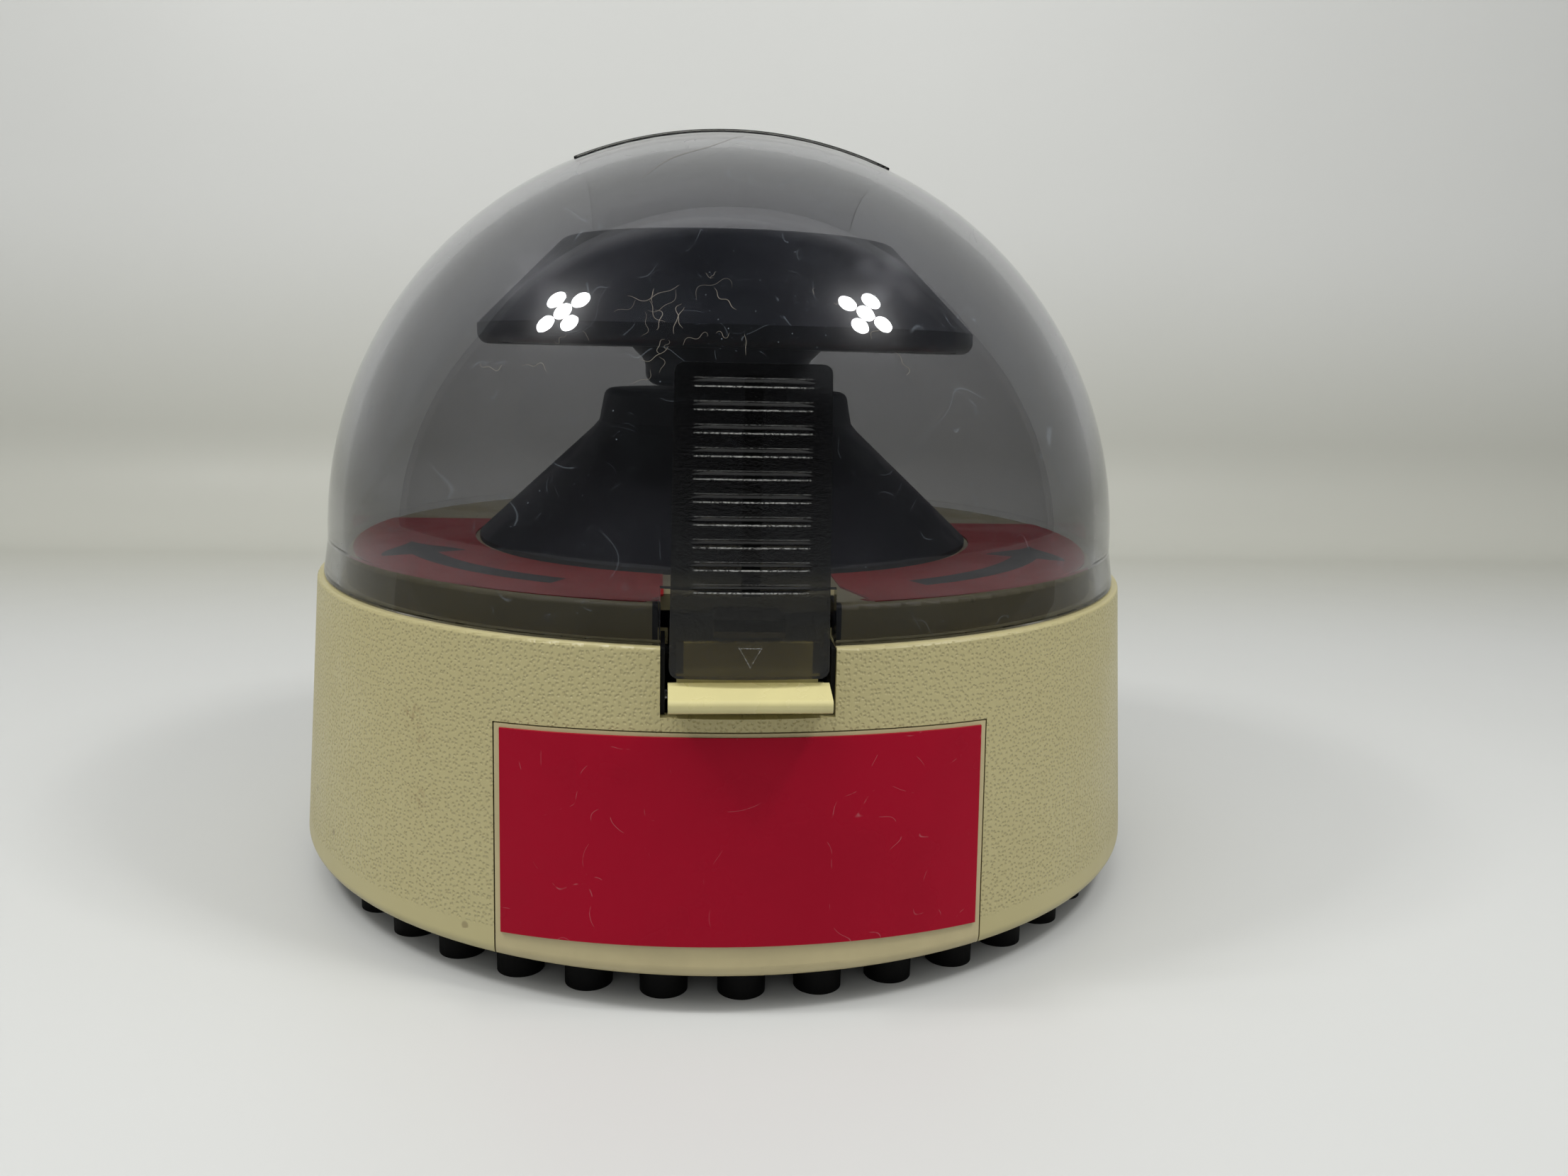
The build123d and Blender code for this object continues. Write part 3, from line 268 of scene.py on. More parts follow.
# %% Scratches
scratch_inputs = {"Place": (0, 0, 0), "Reach": 0.02, "Width": 0.004}
scratches, start, end = new_group("hair_scratches", scratch_inputs, {"Scratch": 0.0})
place = start.outputs["Place"]
per_metre = calc(scratches, "DIVIDE", 1.0, start.outputs["Reach"])
slow = put(scratches, "ShaderNodeTexNoise", Vector=place, Scale=per_metre, Detail=1.0)
from_middle = distance_from(scratches, out(slow, "Fac"), 0.5)
widths_away = calc(scratches, "DIVIDE", from_middle, start.outputs["Width"])
band = calc(scratches, "SUBTRACT", 1.0, widths_away, clamp=True)
runs = put(scratches, "ShaderNodeTexNoise", Vector=place, Scale=calc(scratches, "MULTIPLY", per_metre, 3.1),
           Detail=2.0)
feed(scratches, end, Scratch=times(scratches, band, ramp(scratches, out(runs, "Fac"), 0.52, 0.60)))
print("group:", scratches.name)

# %% [markdown]
# ## Cream plastic
#
# The housing is a warm cream plastic, now a little yellowed. Its grain stops in a
# smooth band along the bottom edge and just under the joint, and small brown stains
# sit here and there on the wall. The pits of the grain hold a trace of grime, so
# they are darker. The stains could be painted, but a short table of places and
# radii says the same and is easy to change.

# %% Colour of the grained housing
CREAM = (0.40, 0.355, 0.175)
CREAM_YELLOWED = (0.37, 0.32, 0.15)
GRIME = (0.25, 0.205, 0.09)
SPECK_BROWN = (0.12, 0.08, 0.03)
STAIN_BROWN = (0.22, 0.15, 0.06)
GRAIN_STARTS, GRAIN_ENDS = (0.0092, 0.0104), (0.0519, 0.0513)  # heights where the grain fades in and out
housing_cream, tree, shader, place = new_material("housing_cream", CREAM, 0.42)
height = out(put(tree, "ShaderNodeSeparateXYZ", Vector=place), "Z")
grained = times(tree, ramp(tree, height, *GRAIN_STARTS), ramp(tree, height, *GRAIN_ENDS))
pits = use_group(tree, grain, Place=place, Cell_size=0.00075)
patch = out(use_group(tree, patches, Place=place, Patch_size=0.03))
speck = out(use_group(tree, specks, Place=place, Spacing=0.007, Size=0.11, Cover=0.46))
colour = blend_colour(tree, calc(tree, "MULTIPLY", patch, 0.25), CREAM, CREAM_YELLOWED)
colour = blend_colour(tree, times(tree, pits.outputs["Pit"], grained, 0.2), colour, GRIME)
colour = blend_colour(tree, calc(tree, "MULTIPLY", speck, 0.5), colour, SPECK_BROWN)
print("material:", housing_cream.name)

# %% Stains, gloss and relief of the housing
STAINS = (  # x, y, z and radius
    (-0.0485, -0.0565, 0.0380, 0.0030), (-0.0470, -0.0580, 0.0345, 0.0022),
    (-0.0478, -0.0585, 0.0262, 0.0028), (0.0455, -0.0590, 0.0420, 0.0012),
    (-0.0265, -0.0690, 0.0418, 0.0008), (0.0500, -0.0560, 0.0400, 0.0011),
)
stained = 0.0
for *middle, radius in STAINS:
    away = put(tree, "ShaderNodeVectorMath", operation="DISTANCE")
    tree.links.new(place, away.inputs[0])
    away.inputs[1].default_value = middle
    stained = calc(tree, "MAXIMUM", stained, ramp(tree, away.outputs["Value"], radius, radius * 0.2))
blotch = put(tree, "ShaderNodeTexNoise", Vector=place, Scale=900.0, Detail=3.0, Roughness=0.7)
stain = times(tree, stained, ramp(tree, out(blotch, "Fac"), 0.45, 0.62), 0.5)
feed(tree, shader, Base_Color=blend_colour(tree, stain, colour, STAIN_BROWN),
     Roughness=ramp(tree, patch, 0.0, 1.0, 0.36, 0.46))
raise_surface(tree, shader, times(tree, pits.outputs["Height"], grained), strength=1.0, distance=0.00011)
print("stains:", len(STAINS))

# %% [markdown]
# The front panel, the ledge and the deck are smooth cream. Close to the notch the
# deck's rim and the outer edges of the upright plate behind the tongue lie in shade,
# which is painted on as black, so that the tongue stands out against dark sides.
# These could be pieces of their own, but they have no thickness, so masks on Object
# coordinates are enough.

# %% Smooth cream for the panel, the ledge and the deck, with painted shade by the notch
def smooth_cream(name, colour, roughness, dirt):
    """Cream plastic from a polished tool: faint handling patches and a few specks."""
    material, tree, shader, place = new_material(name, colour, roughness)
    patch = out(use_group(tree, patches, Place=place, Patch_size=0.012))
    speck = out(use_group(tree, specks, Place=place, Spacing=0.004, Size=0.1, Cover=0.45))
    darker = tuple(c * 0.86 for c in colour)
    mixed = blend_colour(tree, calc(tree, "MULTIPLY", patch, 0.5), colour, darker)
    mixed = blend_colour(tree, calc(tree, "MULTIPLY", speck, dirt), mixed, (0.10, 0.06, 0.02))
    feed(tree, shader, Base_Color=mixed,
         Roughness=ramp(tree, patch, 0.0, 1.0, roughness - 0.05, roughness + 0.08))
    fine = put(tree, "ShaderNodeTexNoise", Vector=place, Scale=1500.0, Detail=2.0)
    raise_surface(tree, shader, out(fine, "Fac"), strength=0.12, distance=0.00004)
    return material


def paint_shade_black(material, black, across, above, in_front_of=1.0):
    """Paint black shade on a material where |x| is in across, z is over above and y is less than in_front_of.
    """
    tree = material.node_tree
    shader = tree.nodes["Principled BSDF"]
    painted = shader.inputs["Base Color"].links[0].from_socket
    axes = put(tree, "ShaderNodeSeparateXYZ", Vector=out(put(tree, "ShaderNodeTexCoord"), "Object"))
    mask = times(tree, between(tree, calc(tree, "ABSOLUTE", out(axes, "X")), *across),
                 calc(tree, "LESS_THAN", out(axes, "Y"), in_front_of),
                 calc(tree, "GREATER_THAN", out(axes, "Z"), above))
    feed(tree, shader, Base_Color=blend_colour(tree, mask, painted, black))


panel_cream = smooth_cream("panel_cream", (0.42, 0.36, 0.195), 0.34, 0.5)
ledge_cream = smooth_cream("ledge_cream", (0.53, 0.48, 0.235), 0.24, 0.35)
deck_cream = smooth_cream("deck_cream", (0.36, 0.315, 0.165), 0.4, 0.4)
# Painted shade: black on the latch plate's outer edges and on the deck's rim beside the notch.
paint_shade_black(ledge_cream, (0.012, 0.011, 0.008), across=(0.0088, 1.0), above=0.0481)
paint_shade_black(deck_cream, (0.006, 0.006, 0.006), across=(0.0103, 0.0130), above=0.0500, in_front_of=-0.060)
print("smooth creams ready")

# %% [markdown]
# ## Printed films
#
# The nameplate and the ring on the chamber floor are red printed films. The
# nameplate is glossy, a little uneven and rubbed: its surface carries hair-fine
# scratches, and pinpoint chips show the pale base through the ink. The ring has two
# plain curved arrows. They mirror each other and both point to the back, so they are
# decoration and do not tell which way the rotor turns. Ink has no thickness, so they
# are a mask made from the radius and the angle, which keeps their edges crisp.

# %% Two curved arrows
ARROW_RADIUS = 0.0572
ARROW_WIDTH = 0.0042
ARROW_START = math.radians(28)
ARROW_NECK = math.radians(62)
ARROW_TIP = math.radians(76)
ARROW_BLACK = (0.012, 0.010, 0.012)


def curved_arrows(tree, place):
    """A mask of two mirrored arrows round the Z axis, one on each side. A shaft is a band of radius. A head
    is a band whose half width falls from 1.6 arrow widths to nothing as the angle goes from neck to tip."""
    axes = put(tree, "ShaderNodeSeparateXYZ", Vector=place)
    x, y = out(axes, "X"), out(axes, "Y")
    reach = calc(tree, "SQRT", calc(tree, "ADD", calc(tree, "MULTIPLY", x, x), calc(tree, "MULTIPLY", y, y)))
    angle = calc(tree, "ARCTAN2", calc(tree, "ABSOLUTE", x), calc(tree, "MULTIPLY", y, -1.0))
    off_line = distance_from(tree, reach, ARROW_RADIUS)
    shaft = times(tree, between(tree, angle, ARROW_START, ARROW_NECK),
                  calc(tree, "LESS_THAN", off_line, ARROW_WIDTH / 2))
    head_width = ramp(tree, angle, ARROW_NECK, ARROW_TIP, 1.6 * ARROW_WIDTH, 0.0)
    past_neck = calc(tree, "GREATER_THAN", angle, ARROW_NECK)
    head = times(tree, past_neck, calc(tree, "LESS_THAN", off_line, head_width))
    return calc(tree, "MAXIMUM", shaft, head)


print("arrow length in degrees:", round(math.degrees(ARROW_TIP - ARROW_START)))

# %% Red films
def red_film(name, colour, roughness, gloss, marks=None):
    """A printed film: even ink, hair-fine pale scratches, a few pinpoint chips and any black marks."""
    material, tree, shader, place = new_material(name, colour, roughness, Specular_IOR_Level=gloss)
    patch = out(use_group(tree, patches, Place=place, Patch_size=0.02))
    chips = out(use_group(tree, specks, Place=place, Spacing=0.009, Size=0.035, Cover=0.5))
    hairline = out(use_group(tree, scratches, Place=place, Reach=0.009, Width=0.004))
    mixed = blend_colour(tree, calc(tree, "MULTIPLY", patch, 0.35), colour, tuple(0.82 * c for c in colour))
    mixed = blend_colour(tree, calc(tree, "MULTIPLY", chips, 0.7), mixed, (0.45, 0.35, 0.22))
    mixed = blend_colour(tree, calc(tree, "MULTIPLY", hairline, 0.25), mixed, (0.55, 0.30, 0.32))
    if marks:
        mixed = blend_colour(tree, marks(tree, place), mixed, ARROW_BLACK)
    feed(tree, shader, Base_Color=mixed, Roughness=ramp(tree, patch, 0.0, 1.0, roughness, roughness + 0.12))
    wave = put(tree, "ShaderNodeTexNoise", Vector=place, Scale=220.0, Detail=1.0)
    raise_surface(tree, shader, out(wave, "Fac"), strength=0.2, distance=0.00008)
    return material


plate_red = red_film("plate_red", (0.285, 0.003, 0.0165), 0.2, 0.08)
ring_red = red_film("ring_red", (0.36, 0.016, 0.016), 0.4, 0.3, marks=curved_arrows)
print("films ready")

# %% [markdown]
# ## Black pieces
#
# The tower, the rotor and the inner frame are black plastics that differ in gloss.
# The rotor's is a deep blue-black with a satin sheen; the tower is duller. The
# rubber of the feet is the darkest and least shiny. One function makes all four,
# because only their colour, gloss and texture differ.

# %% Black plastics and rubber
def black_plastic(name, colour, roughness, grain_size, bump_depth, gloss=0.5):
    """A dark moulded plastic with a fine spark texture and soft handling patches."""
    material, tree, shader, place = new_material(name, colour, roughness, Specular_IOR_Level=gloss)
    patch = out(use_group(tree, patches, Place=place, Patch_size=0.015))
    lighter = tuple(c * 1.7 + 0.003 for c in colour)
    feed(tree, shader, Base_Color=blend_colour(tree, calc(tree, "MULTIPLY", patch, 0.4), colour, lighter),
         Roughness=ramp(tree, patch, 0.0, 1.0, roughness - 0.05, roughness + 0.1))
    fine = put(tree, "ShaderNodeTexNoise", Vector=place, Scale=1.0 / grain_size, Detail=2.0, Roughness=0.6)
    raise_surface(tree, shader, out(fine, "Fac"), strength=0.5, distance=bump_depth)
    return material


rotor_black = black_plastic("rotor_black", (0.009, 0.012, 0.018), 0.36, 0.0006, 0.00003)
tower_black = black_plastic("tower_black", (0.006, 0.007, 0.010), 0.5, 0.0005, 0.00005, 0.25)
frame_black = black_plastic("frame_black", (0.005, 0.005, 0.005), 0.55, 0.0005, 0.00005, 0.15)
rubber_black = black_plastic("rubber_black", (0.003, 0.003, 0.003), 0.62, 0.0007, 0.00006, 0.1)
print("blacks ready")

# %% [markdown]
# ## Metals and the hidden parts
#
# Inside the base sit a motor, a board and a few screws and springs. The shells
# hide nearly all of it, but each piece still has its own finish. Turning leaves
# faint rings, so the noise of the metals is squeezed along the axis. The board's
# tracks are a brick pattern whose joints stand for the copper.

# %% Metals and bronze
def turned_metal(name, colour, roughness):
    """Plain metal with the faint rings that turning or drawing leaves."""
    material, tree, shader, place = new_material(name, colour, roughness, Metallic=1.0)
    long = put(tree, "ShaderNodeMapping", Scale=(1.0, 1.0, 14.0), Vector=place)
    rings = put(tree, "ShaderNodeTexNoise", Vector=long.outputs[0], Scale=700.0, Detail=2.0)
    darker = tuple(0.8 * c for c in colour)
    feed(tree, shader, Base_Color=blend_colour(tree, out(rings, "Fac"), colour, darker),
         Roughness=ramp(tree, out(rings, "Fac"), 0.3, 0.7, roughness - 0.06, roughness + 0.1))
    return material


steel = turned_metal("steel", (0.56, 0.56, 0.57), 0.3)
zinc = turned_metal("zinc", (0.48, 0.49, 0.50), 0.42)
bronze = turned_metal("bronze", (0.50, 0.33, 0.16), 0.4)
print("metals ready")

# %% Circuit board
BOARD_GREEN = (0.01, 0.11, 0.035)
board_green, tree, shader, place = new_material("board_green", BOARD_GREEN, 0.35)
tracks = put(tree, "ShaderNodeTexBrick", Vector=place, Scale=420.0, Mortar_Size=0.06,
             Color1=(*BOARD_GREEN, 1), Color2=(0.012, 0.13, 0.04, 1), Mortar=(0.02, 0.19, 0.06, 1))
feed(tree, shader, Base_Color=out(tracks, "Color"))
print("material:", board_green.name)

# %% [markdown]
# ## The smoked dome
#
# The dome is one clear moulding about two and a half millimetres thick, dyed smoke
# grey. A glass shader bends light at both faces, as the real wall does, and its
# colour dims what shows through. Glass in a path tracer stops the lamps from
# lighting what is behind it, so rays that look for a lamp get a plain tinted
# see-through shader in its place. Dust, a faint haze and fine pale scratches lie on
# it: they are a thin share of a plain matt shader, given by the masks.

# %% Glass that lets the lamps in
def show_glass(tree, surface, shade):
    """Send surface to the output, but give rays that look for a lamp a see-through shader tinted by shade."""
    through = put(tree, "ShaderNodeBsdfTransparent", Color=(*shade, 1.0))
    path = put(tree, "ShaderNodeLightPath")
    show(tree, blend_shaders(tree, out(path, "Is Shadow Ray"), surface, through))


print("glass helper ready")

# %% Smoked clear plastic for the dome
HAZE, PATCH_SHARE, SCRATCH_SHARE, SPECK_SHARE = 0.001, 0.006, 0.14, 0.22
dome_smoke, tree, shader, place = new_material("dome_smoke", (0.455, 0.455, 0.475), 0.01, IOR=1.49,
                                               Transmission_Weight=1.0, Coat_Weight=0.12, Coat_Roughness=0.22,
                                               Coat_IOR=1.45)
patch = out(use_group(tree, patches, Place=place, Patch_size=0.018))
long_scratch = out(use_group(tree, scratches, Place=place, Reach=0.022, Width=0.0022))
short_scratch = out(use_group(tree, scratches, Place=place, Reach=0.009, Width=0.004))
scratched = calc(tree, "MAXIMUM", long_scratch, short_scratch)
specked = out(use_group(tree, specks, Place=place, Spacing=0.0016, Size=0.09, Cover=0.5))
feed(tree, shader, Roughness=calc(tree, "MULTIPLY_ADD", patch, 0.02, 0.01))
dust = calc(tree, "MULTIPLY_ADD", patch, PATCH_SHARE, HAZE)
dust = calc(tree, "MULTIPLY_ADD", scratched, SCRATCH_SHARE, dust)
dust = calc(tree, "MULTIPLY_ADD", specked, SPECK_SHARE, dust)
matt = put(tree, "ShaderNodeBsdfDiffuse", Color=(0.36, 0.41, 0.46, 1.0))
show_glass(tree, blend_shaders(tree, dust, shader, matt), shade=(0.40, 0.40, 0.42))
print("material:", dome_smoke.name)

# %% [markdown]
# A thin clear film is stuck over the dome's top. Seen straight through, it hardly
# shows, but along its edge the sight line runs a long way inside it, so it looks
# dark there. Layer Weight gives that: it rises as the surface turns away from view.

# %% Clear film for the dome's top
FILM_FACE_ON = (0.93, 0.93, 0.93)
FILM_EDGE_ON = (0.06, 0.058, 0.05)
EDGE_FADE = (0.86, 0.97)  # how far the film is turned away where the edge colour starts and is full
film_clear, tree, shader, place = new_material("film_clear", (0.9, 0.9, 0.9), 0.05, IOR=1.2,
                                               Transmission_Weight=1.0)
facing = out(put(tree, "ShaderNodeLayerWeight", Blend=0.5), "Facing")
feed(tree, shader, Base_Color=blend_colour(tree, ramp(tree, facing, *EDGE_FADE), FILM_FACE_ON, FILM_EDGE_ON))
show_glass(tree, shader, shade=(0.9, 0.9, 0.9))
print("material:", film_clear.name)

# %% [markdown]
# The tongue is the same dyed plastic with a sparkling spark-eroded face, so it
# scatters what shows through. A rib runs up its back, and the cream of the base
# glows through its foot. The rims of its ten finger grooves carry a painted
# highlight, pale lines where they catch the light, and the outline of a small
# triangle at its foot that points down to the ledge is pale. All of these are
# masks on Object coordinates, because their places are known in metres.

# %% Plastic of the tongue
TONGUE_GREY = (0.17, 0.175, 0.185)
TONGUE_FOOT = (0.25, 0.22, 0.125)
RIB_BLACK = (0.012, 0.012, 0.014)
RIB_HALF = 0.0012
RIBBED = (0.0595, 0.0886)  # from this height to that one
FOOT_FADE = (0.0590, 0.0530)  # heights where the foot's colour starts and is full
tongue_smoke, tree, shader, place = new_material("tongue_smoke", TONGUE_GREY, 0.1, IOR=1.49,
                                                 Transmission_Weight=1.0)
axes = put(tree, "ShaderNodeSeparateXYZ", Vector=place)
x, y, z = out(axes, "X"), out(axes, "Y"), out(axes, "Z")
off_centre = calc(tree, "ABSOLUTE", x)
ribbed_height = between(tree, z, *RIBBED)
rib = times(tree, ramp(tree, off_centre, RIB_HALF + 0.0001, RIB_HALF - 0.0001), ribbed_height)
tint = blend_colour(tree, ramp(tree, z, *FOOT_FADE), TONGUE_GREY, TONGUE_FOOT)
feed(tree, shader, Base_Color=blend_colour(tree, rib, tint, RIB_BLACK))
fine = put(tree, "ShaderNodeTexNoise", Vector=place, Scale=2600.0, Detail=3.0, Roughness=0.7)
raise_surface(tree, shader, out(fine, "Fac"), strength=0.5, distance=0.00005)
print("material:", tongue_smoke.name)

# %% [markdown]
# The grooves repeat at one pitch, so the height measured in pitches has the same
# fraction at each groove, and the distance to the nearest groove follows. The
# painted highlight is strongest on the lower rim of each groove, which faces the
# light from above. Only the front face gets it: the tongue leans back as it rises,
# so the radius that parts front from back falls with height.

# %% Painted highlights on the rims of the finger grooves
GROOVE_FIRST, GROOVE_PITCH, GROOVE_RIM, GROOVE_HALF = 0.0605, 0.00302, 0.00056, 0.0080
TONGUE_BOTTOM, TONGUE_RADIUS, TONGUE_LEAN, SKIN = 0.0482, 0.0746, 0.0524, 0.0012
HIGHLIGHT_LINE = (0.00015, 0.00003)  # distance from its middle where a painted highlight line ends and where it is full
pitches_up = calc(tree, "DIVIDE", calc(tree, "SUBTRACT", z, GROOVE_FIRST), GROOVE_PITCH)
part_of_pitch = calc(tree, "FRACT", calc(tree, "ADD", pitches_up, 0.5))
from_groove = calc(tree, "MULTIPLY", distance_from(tree, part_of_pitch, 0.5), GROOVE_PITCH)
highlight_line = ramp(tree, distance_from(tree, from_groove, GROOVE_RIM), *HIGHLIGHT_LINE)
lower_rim_lit = ramp(tree, part_of_pitch, 0.48, 0.52, 1.0, 0.35)
across = ramp(tree, off_centre, GROOVE_HALF, GROOVE_HALF - 0.0004)
reach = calc(tree, "SQRT", calc(tree, "MULTIPLY_ADD", x, x, calc(tree, "MULTIPLY", y, y)))
rise = calc(tree, "SUBTRACT", z, TONGUE_BOTTOM)
parting = calc(tree, "MULTIPLY_ADD", rise, -TONGUE_LEAN, TONGUE_RADIUS - SKIN)
on_front = calc(tree, "GREATER_THAN", reach, parting)
rim_highlights = times(tree, highlight_line, ribbed_height, across, lower_rim_lit, on_front)
print("groove pitch in mm:", 1000 * GROOVE_PITCH)

# %% Outline of the small triangle, and the pale finish that also paints the rim highlights
MARK_TIP, MARK_LOW, MARK_TOP, MARK_SLANT = 0.0499, 0.0498, 0.0526, 0.577
side = calc(tree, "MULTIPLY", calc(tree, "SUBTRACT", z, MARK_TIP), MARK_SLANT)
sides = times(tree, ramp(tree, distance_from(tree, off_centre, side), 0.00013, 0.00004),
              between(tree, z, MARK_LOW, MARK_TOP))
top_line = times(tree, ramp(tree, distance_from(tree, z, MARK_TOP - 0.0001), 0.00012, 0.00003),
                 calc(tree, "LESS_THAN", off_centre, 0.0016))
mark = calc(tree, "MAXIMUM", sides, top_line)
glint = ramp(tree, out(fine, "Fac"), 0.35, 0.65, 0.05, 0.5)
# A pale matt share paints the highlight on the groove rims and the pale triangle outline.
rim_highlights_and_mark = times(tree, calc(tree, "MAXIMUM", rim_highlights, calc(tree, "MULTIPLY", mark, 0.7)), glint)
matt = put(tree, "ShaderNodeBsdfDiffuse", Color=(0.45, 0.45, 0.43, 1.0))
show_glass(tree, blend_shaders(tree, rim_highlights_and_mark, shader, matt), shade=(0.5, 0.5, 0.48))
print("triangle height in mm:", round(1000 * (MARK_TOP - MARK_LOW), 1))

# %% [markdown]
# ## Give each CAD node its finish
#
# A CAD node keeps its mesh. Only its material slots change.

# %% Assign the finishes
finishes = {
    "base_housing": housing_cream, "front_panel": panel_cream, "nameplate": plate_red, "deck": deck_cream,
    "deck_label": ring_red, "motor_tower": tower_black, "bottom_plate": frame_black,
    "rubber_feet": rubber_black, "case_screws": steel, "hinge_pin": steel, "latch_frame": frame_black,
    "latch_pin": steel, "latch_springs": steel, "motor_can": zinc, "motor_end_bell": frame_black,
    "motor_bracket": zinc, "motor_grommets": rubber_black, "motor_screws": steel, "motor_bearings": bronze,
    "circuit_board": board_green, "board_parts": frame_black, "power_inlet": frame_black,
    "inlet_nut": steel, "lid_switch": frame_black, "dome": dome_smoke, "lid_tongue": tongue_smoke,
    "top_sheet": film_clear, "rotor_body": rotor_black, "rotor_hub": rotor_black,
    "rotor_knob": rotor_black, "motor_shaft": steel, "motor_armature": zinc, "latch_lever": ledge_cream,
    "switch_plunger": ledge_cream,
}
for name, material in finishes.items():
    mesh = nodes[name].data
    mesh.materials.clear()
    mesh.materials.append(material)
print("finished nodes:", len(finishes), "of", len(nodes))

# %% [markdown]
# ## Fluff on the dome
#
# A little fluff clings to the dome's upper front. Each fibre is a thin tube whose
# middle line wanders over the dome, and it rides on the lid. Hair curves could draw
# it too, but a mesh can be exported with the rest: a ring of five points is carried
# along each line, and the ends are closed.

# %% One fibre
DOME_RADIUS, DOME_CENTRE = 0.0711, 0.058
FIBRE_STEPS, FIBRE_SIDES = 26, 5


def fibre(start_x, start_z, length, wander, thickness, rng):
    """A tube on the dome's front. Its heading h(s) = h0 + wander * (sin(a s) + sin(b s + 1)) steers (x, z),
    and y = -sqrt(R^2 - x^2 - (z - c)^2), with R just over the dome's radius, keeps it on the dome."""
    s = np.linspace(0.0, 1.0, FIBRE_STEPS)
    first_heading = rng.uniform(0, 2 * math.pi)
    heading = first_heading + wander * (np.sin(rng.uniform(3, 7) * s) + np.sin(rng.uniform(6, 13) * s + 1.0))
    x = start_x + np.cumsum(np.cos(heading)) * length / FIBRE_STEPS
    z = start_z + np.cumsum(np.sin(heading)) * length / FIBRE_STEPS
    reach = DOME_RADIUS + 1.6 * thickness
    middle = np.stack([x, -np.sqrt(reach ** 2 - x ** 2 - (z - DOME_CENTRE) ** 2), z], axis=1)
    ahead = np.gradient(middle, axis=0)
    ahead /= np.linalg.norm(ahead, axis=1, keepdims=True)
    outward = (middle - (0, 0, DOME_CENTRE)) / reach
    across = np.cross(outward, ahead)
    turn = np.linspace(0, 2 * math.pi, FIBRE_SIDES, endpoint=False)
    width = thickness * np.clip(np.sin(math.pi * s) ** 0.4, 0.25, 1.0)
    ring = across[:, None] * np.cos(turn)[None, :, None] + outward[:, None] * np.sin(turn)[None, :, None]
    return (middle[:, None] + width[:, None, None] * ring).reshape(-1, 3)


print("fibre points:", FIBRE_STEPS * FIBRE_SIDES)

# %% All fibres in one mesh
CLUMPS = (  # x, z, number of fibres and their usual length
    (-0.0135, 0.0985, 4, 0.005), (-0.0085, 0.1000, 3, 0.007), (-0.0105, 0.0935, 5, 0.007),
    (-0.0120, 0.0905, 4, 0.004), (-0.0015, 0.0955, 3, 0.004), (-0.0045, 0.1020, 2, 0.003),
    (0.0105, 0.0985, 2, 0.003), (0.0185, 0.0935, 2, 0.004), (-0.0240, 0.0935, 2, 0.003),
    (-0.0340, 0.0880, 2, 0.004),
)
LONG_HAIR = (-0.0160, 0.1165, 0.020, 0.25, 0.00003)  # x, z, length, wander and thickness


def fluff_mesh(seed):
    """Small clumps of fibres at chosen places and one long faint hair. Each is a closed tube: point j of
    ring i has number i * sides + j, four-sided faces join the rings, and one face closes each end."""
    rng = np.random.default_rng(seed)
    wanted = [(x + rng.normal(0, 0.0012), z + rng.normal(0, 0.0012), rng.uniform(0.4, 1.3) * length,
               rng.uniform(0.3, 1.2), rng.uniform(0.00002, 0.00005))
              for x, z, count, length in CLUMPS for _ in range(count)]
    wanted.append(LONG_HAIR)
    points = [fibre(*item, rng) for item in wanted]
    i, j = np.meshgrid(np.arange(FIBRE_STEPS - 1), np.arange(FIBRE_SIDES), indexing="ij")
    a = (i * FIBRE_SIDES + j).ravel()
    b = (i * FIBRE_SIDES + (j + 1) % FIBRE_SIDES).ravel()
    wall = np.stack([a, b, b + FIBRE_SIDES, a + FIBRE_SIDES], axis=1)
    last = (FIBRE_STEPS - 1) * FIBRE_SIDES
    faces = []
    for first in range(0, len(wanted) * FIBRE_STEPS * FIBRE_SIDES, FIBRE_STEPS * FIBRE_SIDES):
        faces += (first + wall).tolist()
        faces.append(list(range(first + FIBRE_SIDES - 1, first - 1, -1)))
        faces.append(list(range(first + last, first + last + FIBRE_SIDES)))
    mesh = bpy.data.meshes.new("dome_fluff")
    mesh.from_pydata(np.concatenate(points).tolist(), [], faces)
    return mesh


fluff = bpy.data.objects.new("dome_fluff", fluff_mesh(5))
scene.collection.objects.link(fluff)
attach(fluff, "lid")
print("fibre faces:", len(fluff.data.polygons))

# %% Fluff's finish
fluff_tan, tree, shader, place = new_material("fluff_tan", (0.16, 0.14, 0.11), 0.8)
tuft = put(tree, "ShaderNodeTexNoise", Vector=place, Scale=900.0, Detail=2.0)
feed(tree, shader, Base_Color=blend_colour(tree, out(tuft, "Fac"), (0.10, 0.085, 0.065), (0.24, 0.22, 0.18)))
fluff.data.materials.append(fluff_tan)
print("material:", fluff_tan.name)

# %% [markdown]
# ## Floor, lamps and camera
#
# The bench runs into a plain wall behind it. One bent sheet makes both, so that no
# edge shows between them. It is clear when seen from its far side, so the object can
# be viewed from any side, from below too. The wall's finish is a little paler than
# the bench's, but less light reaches it. A painted shade darkens a band of the
# bench where the two meet.

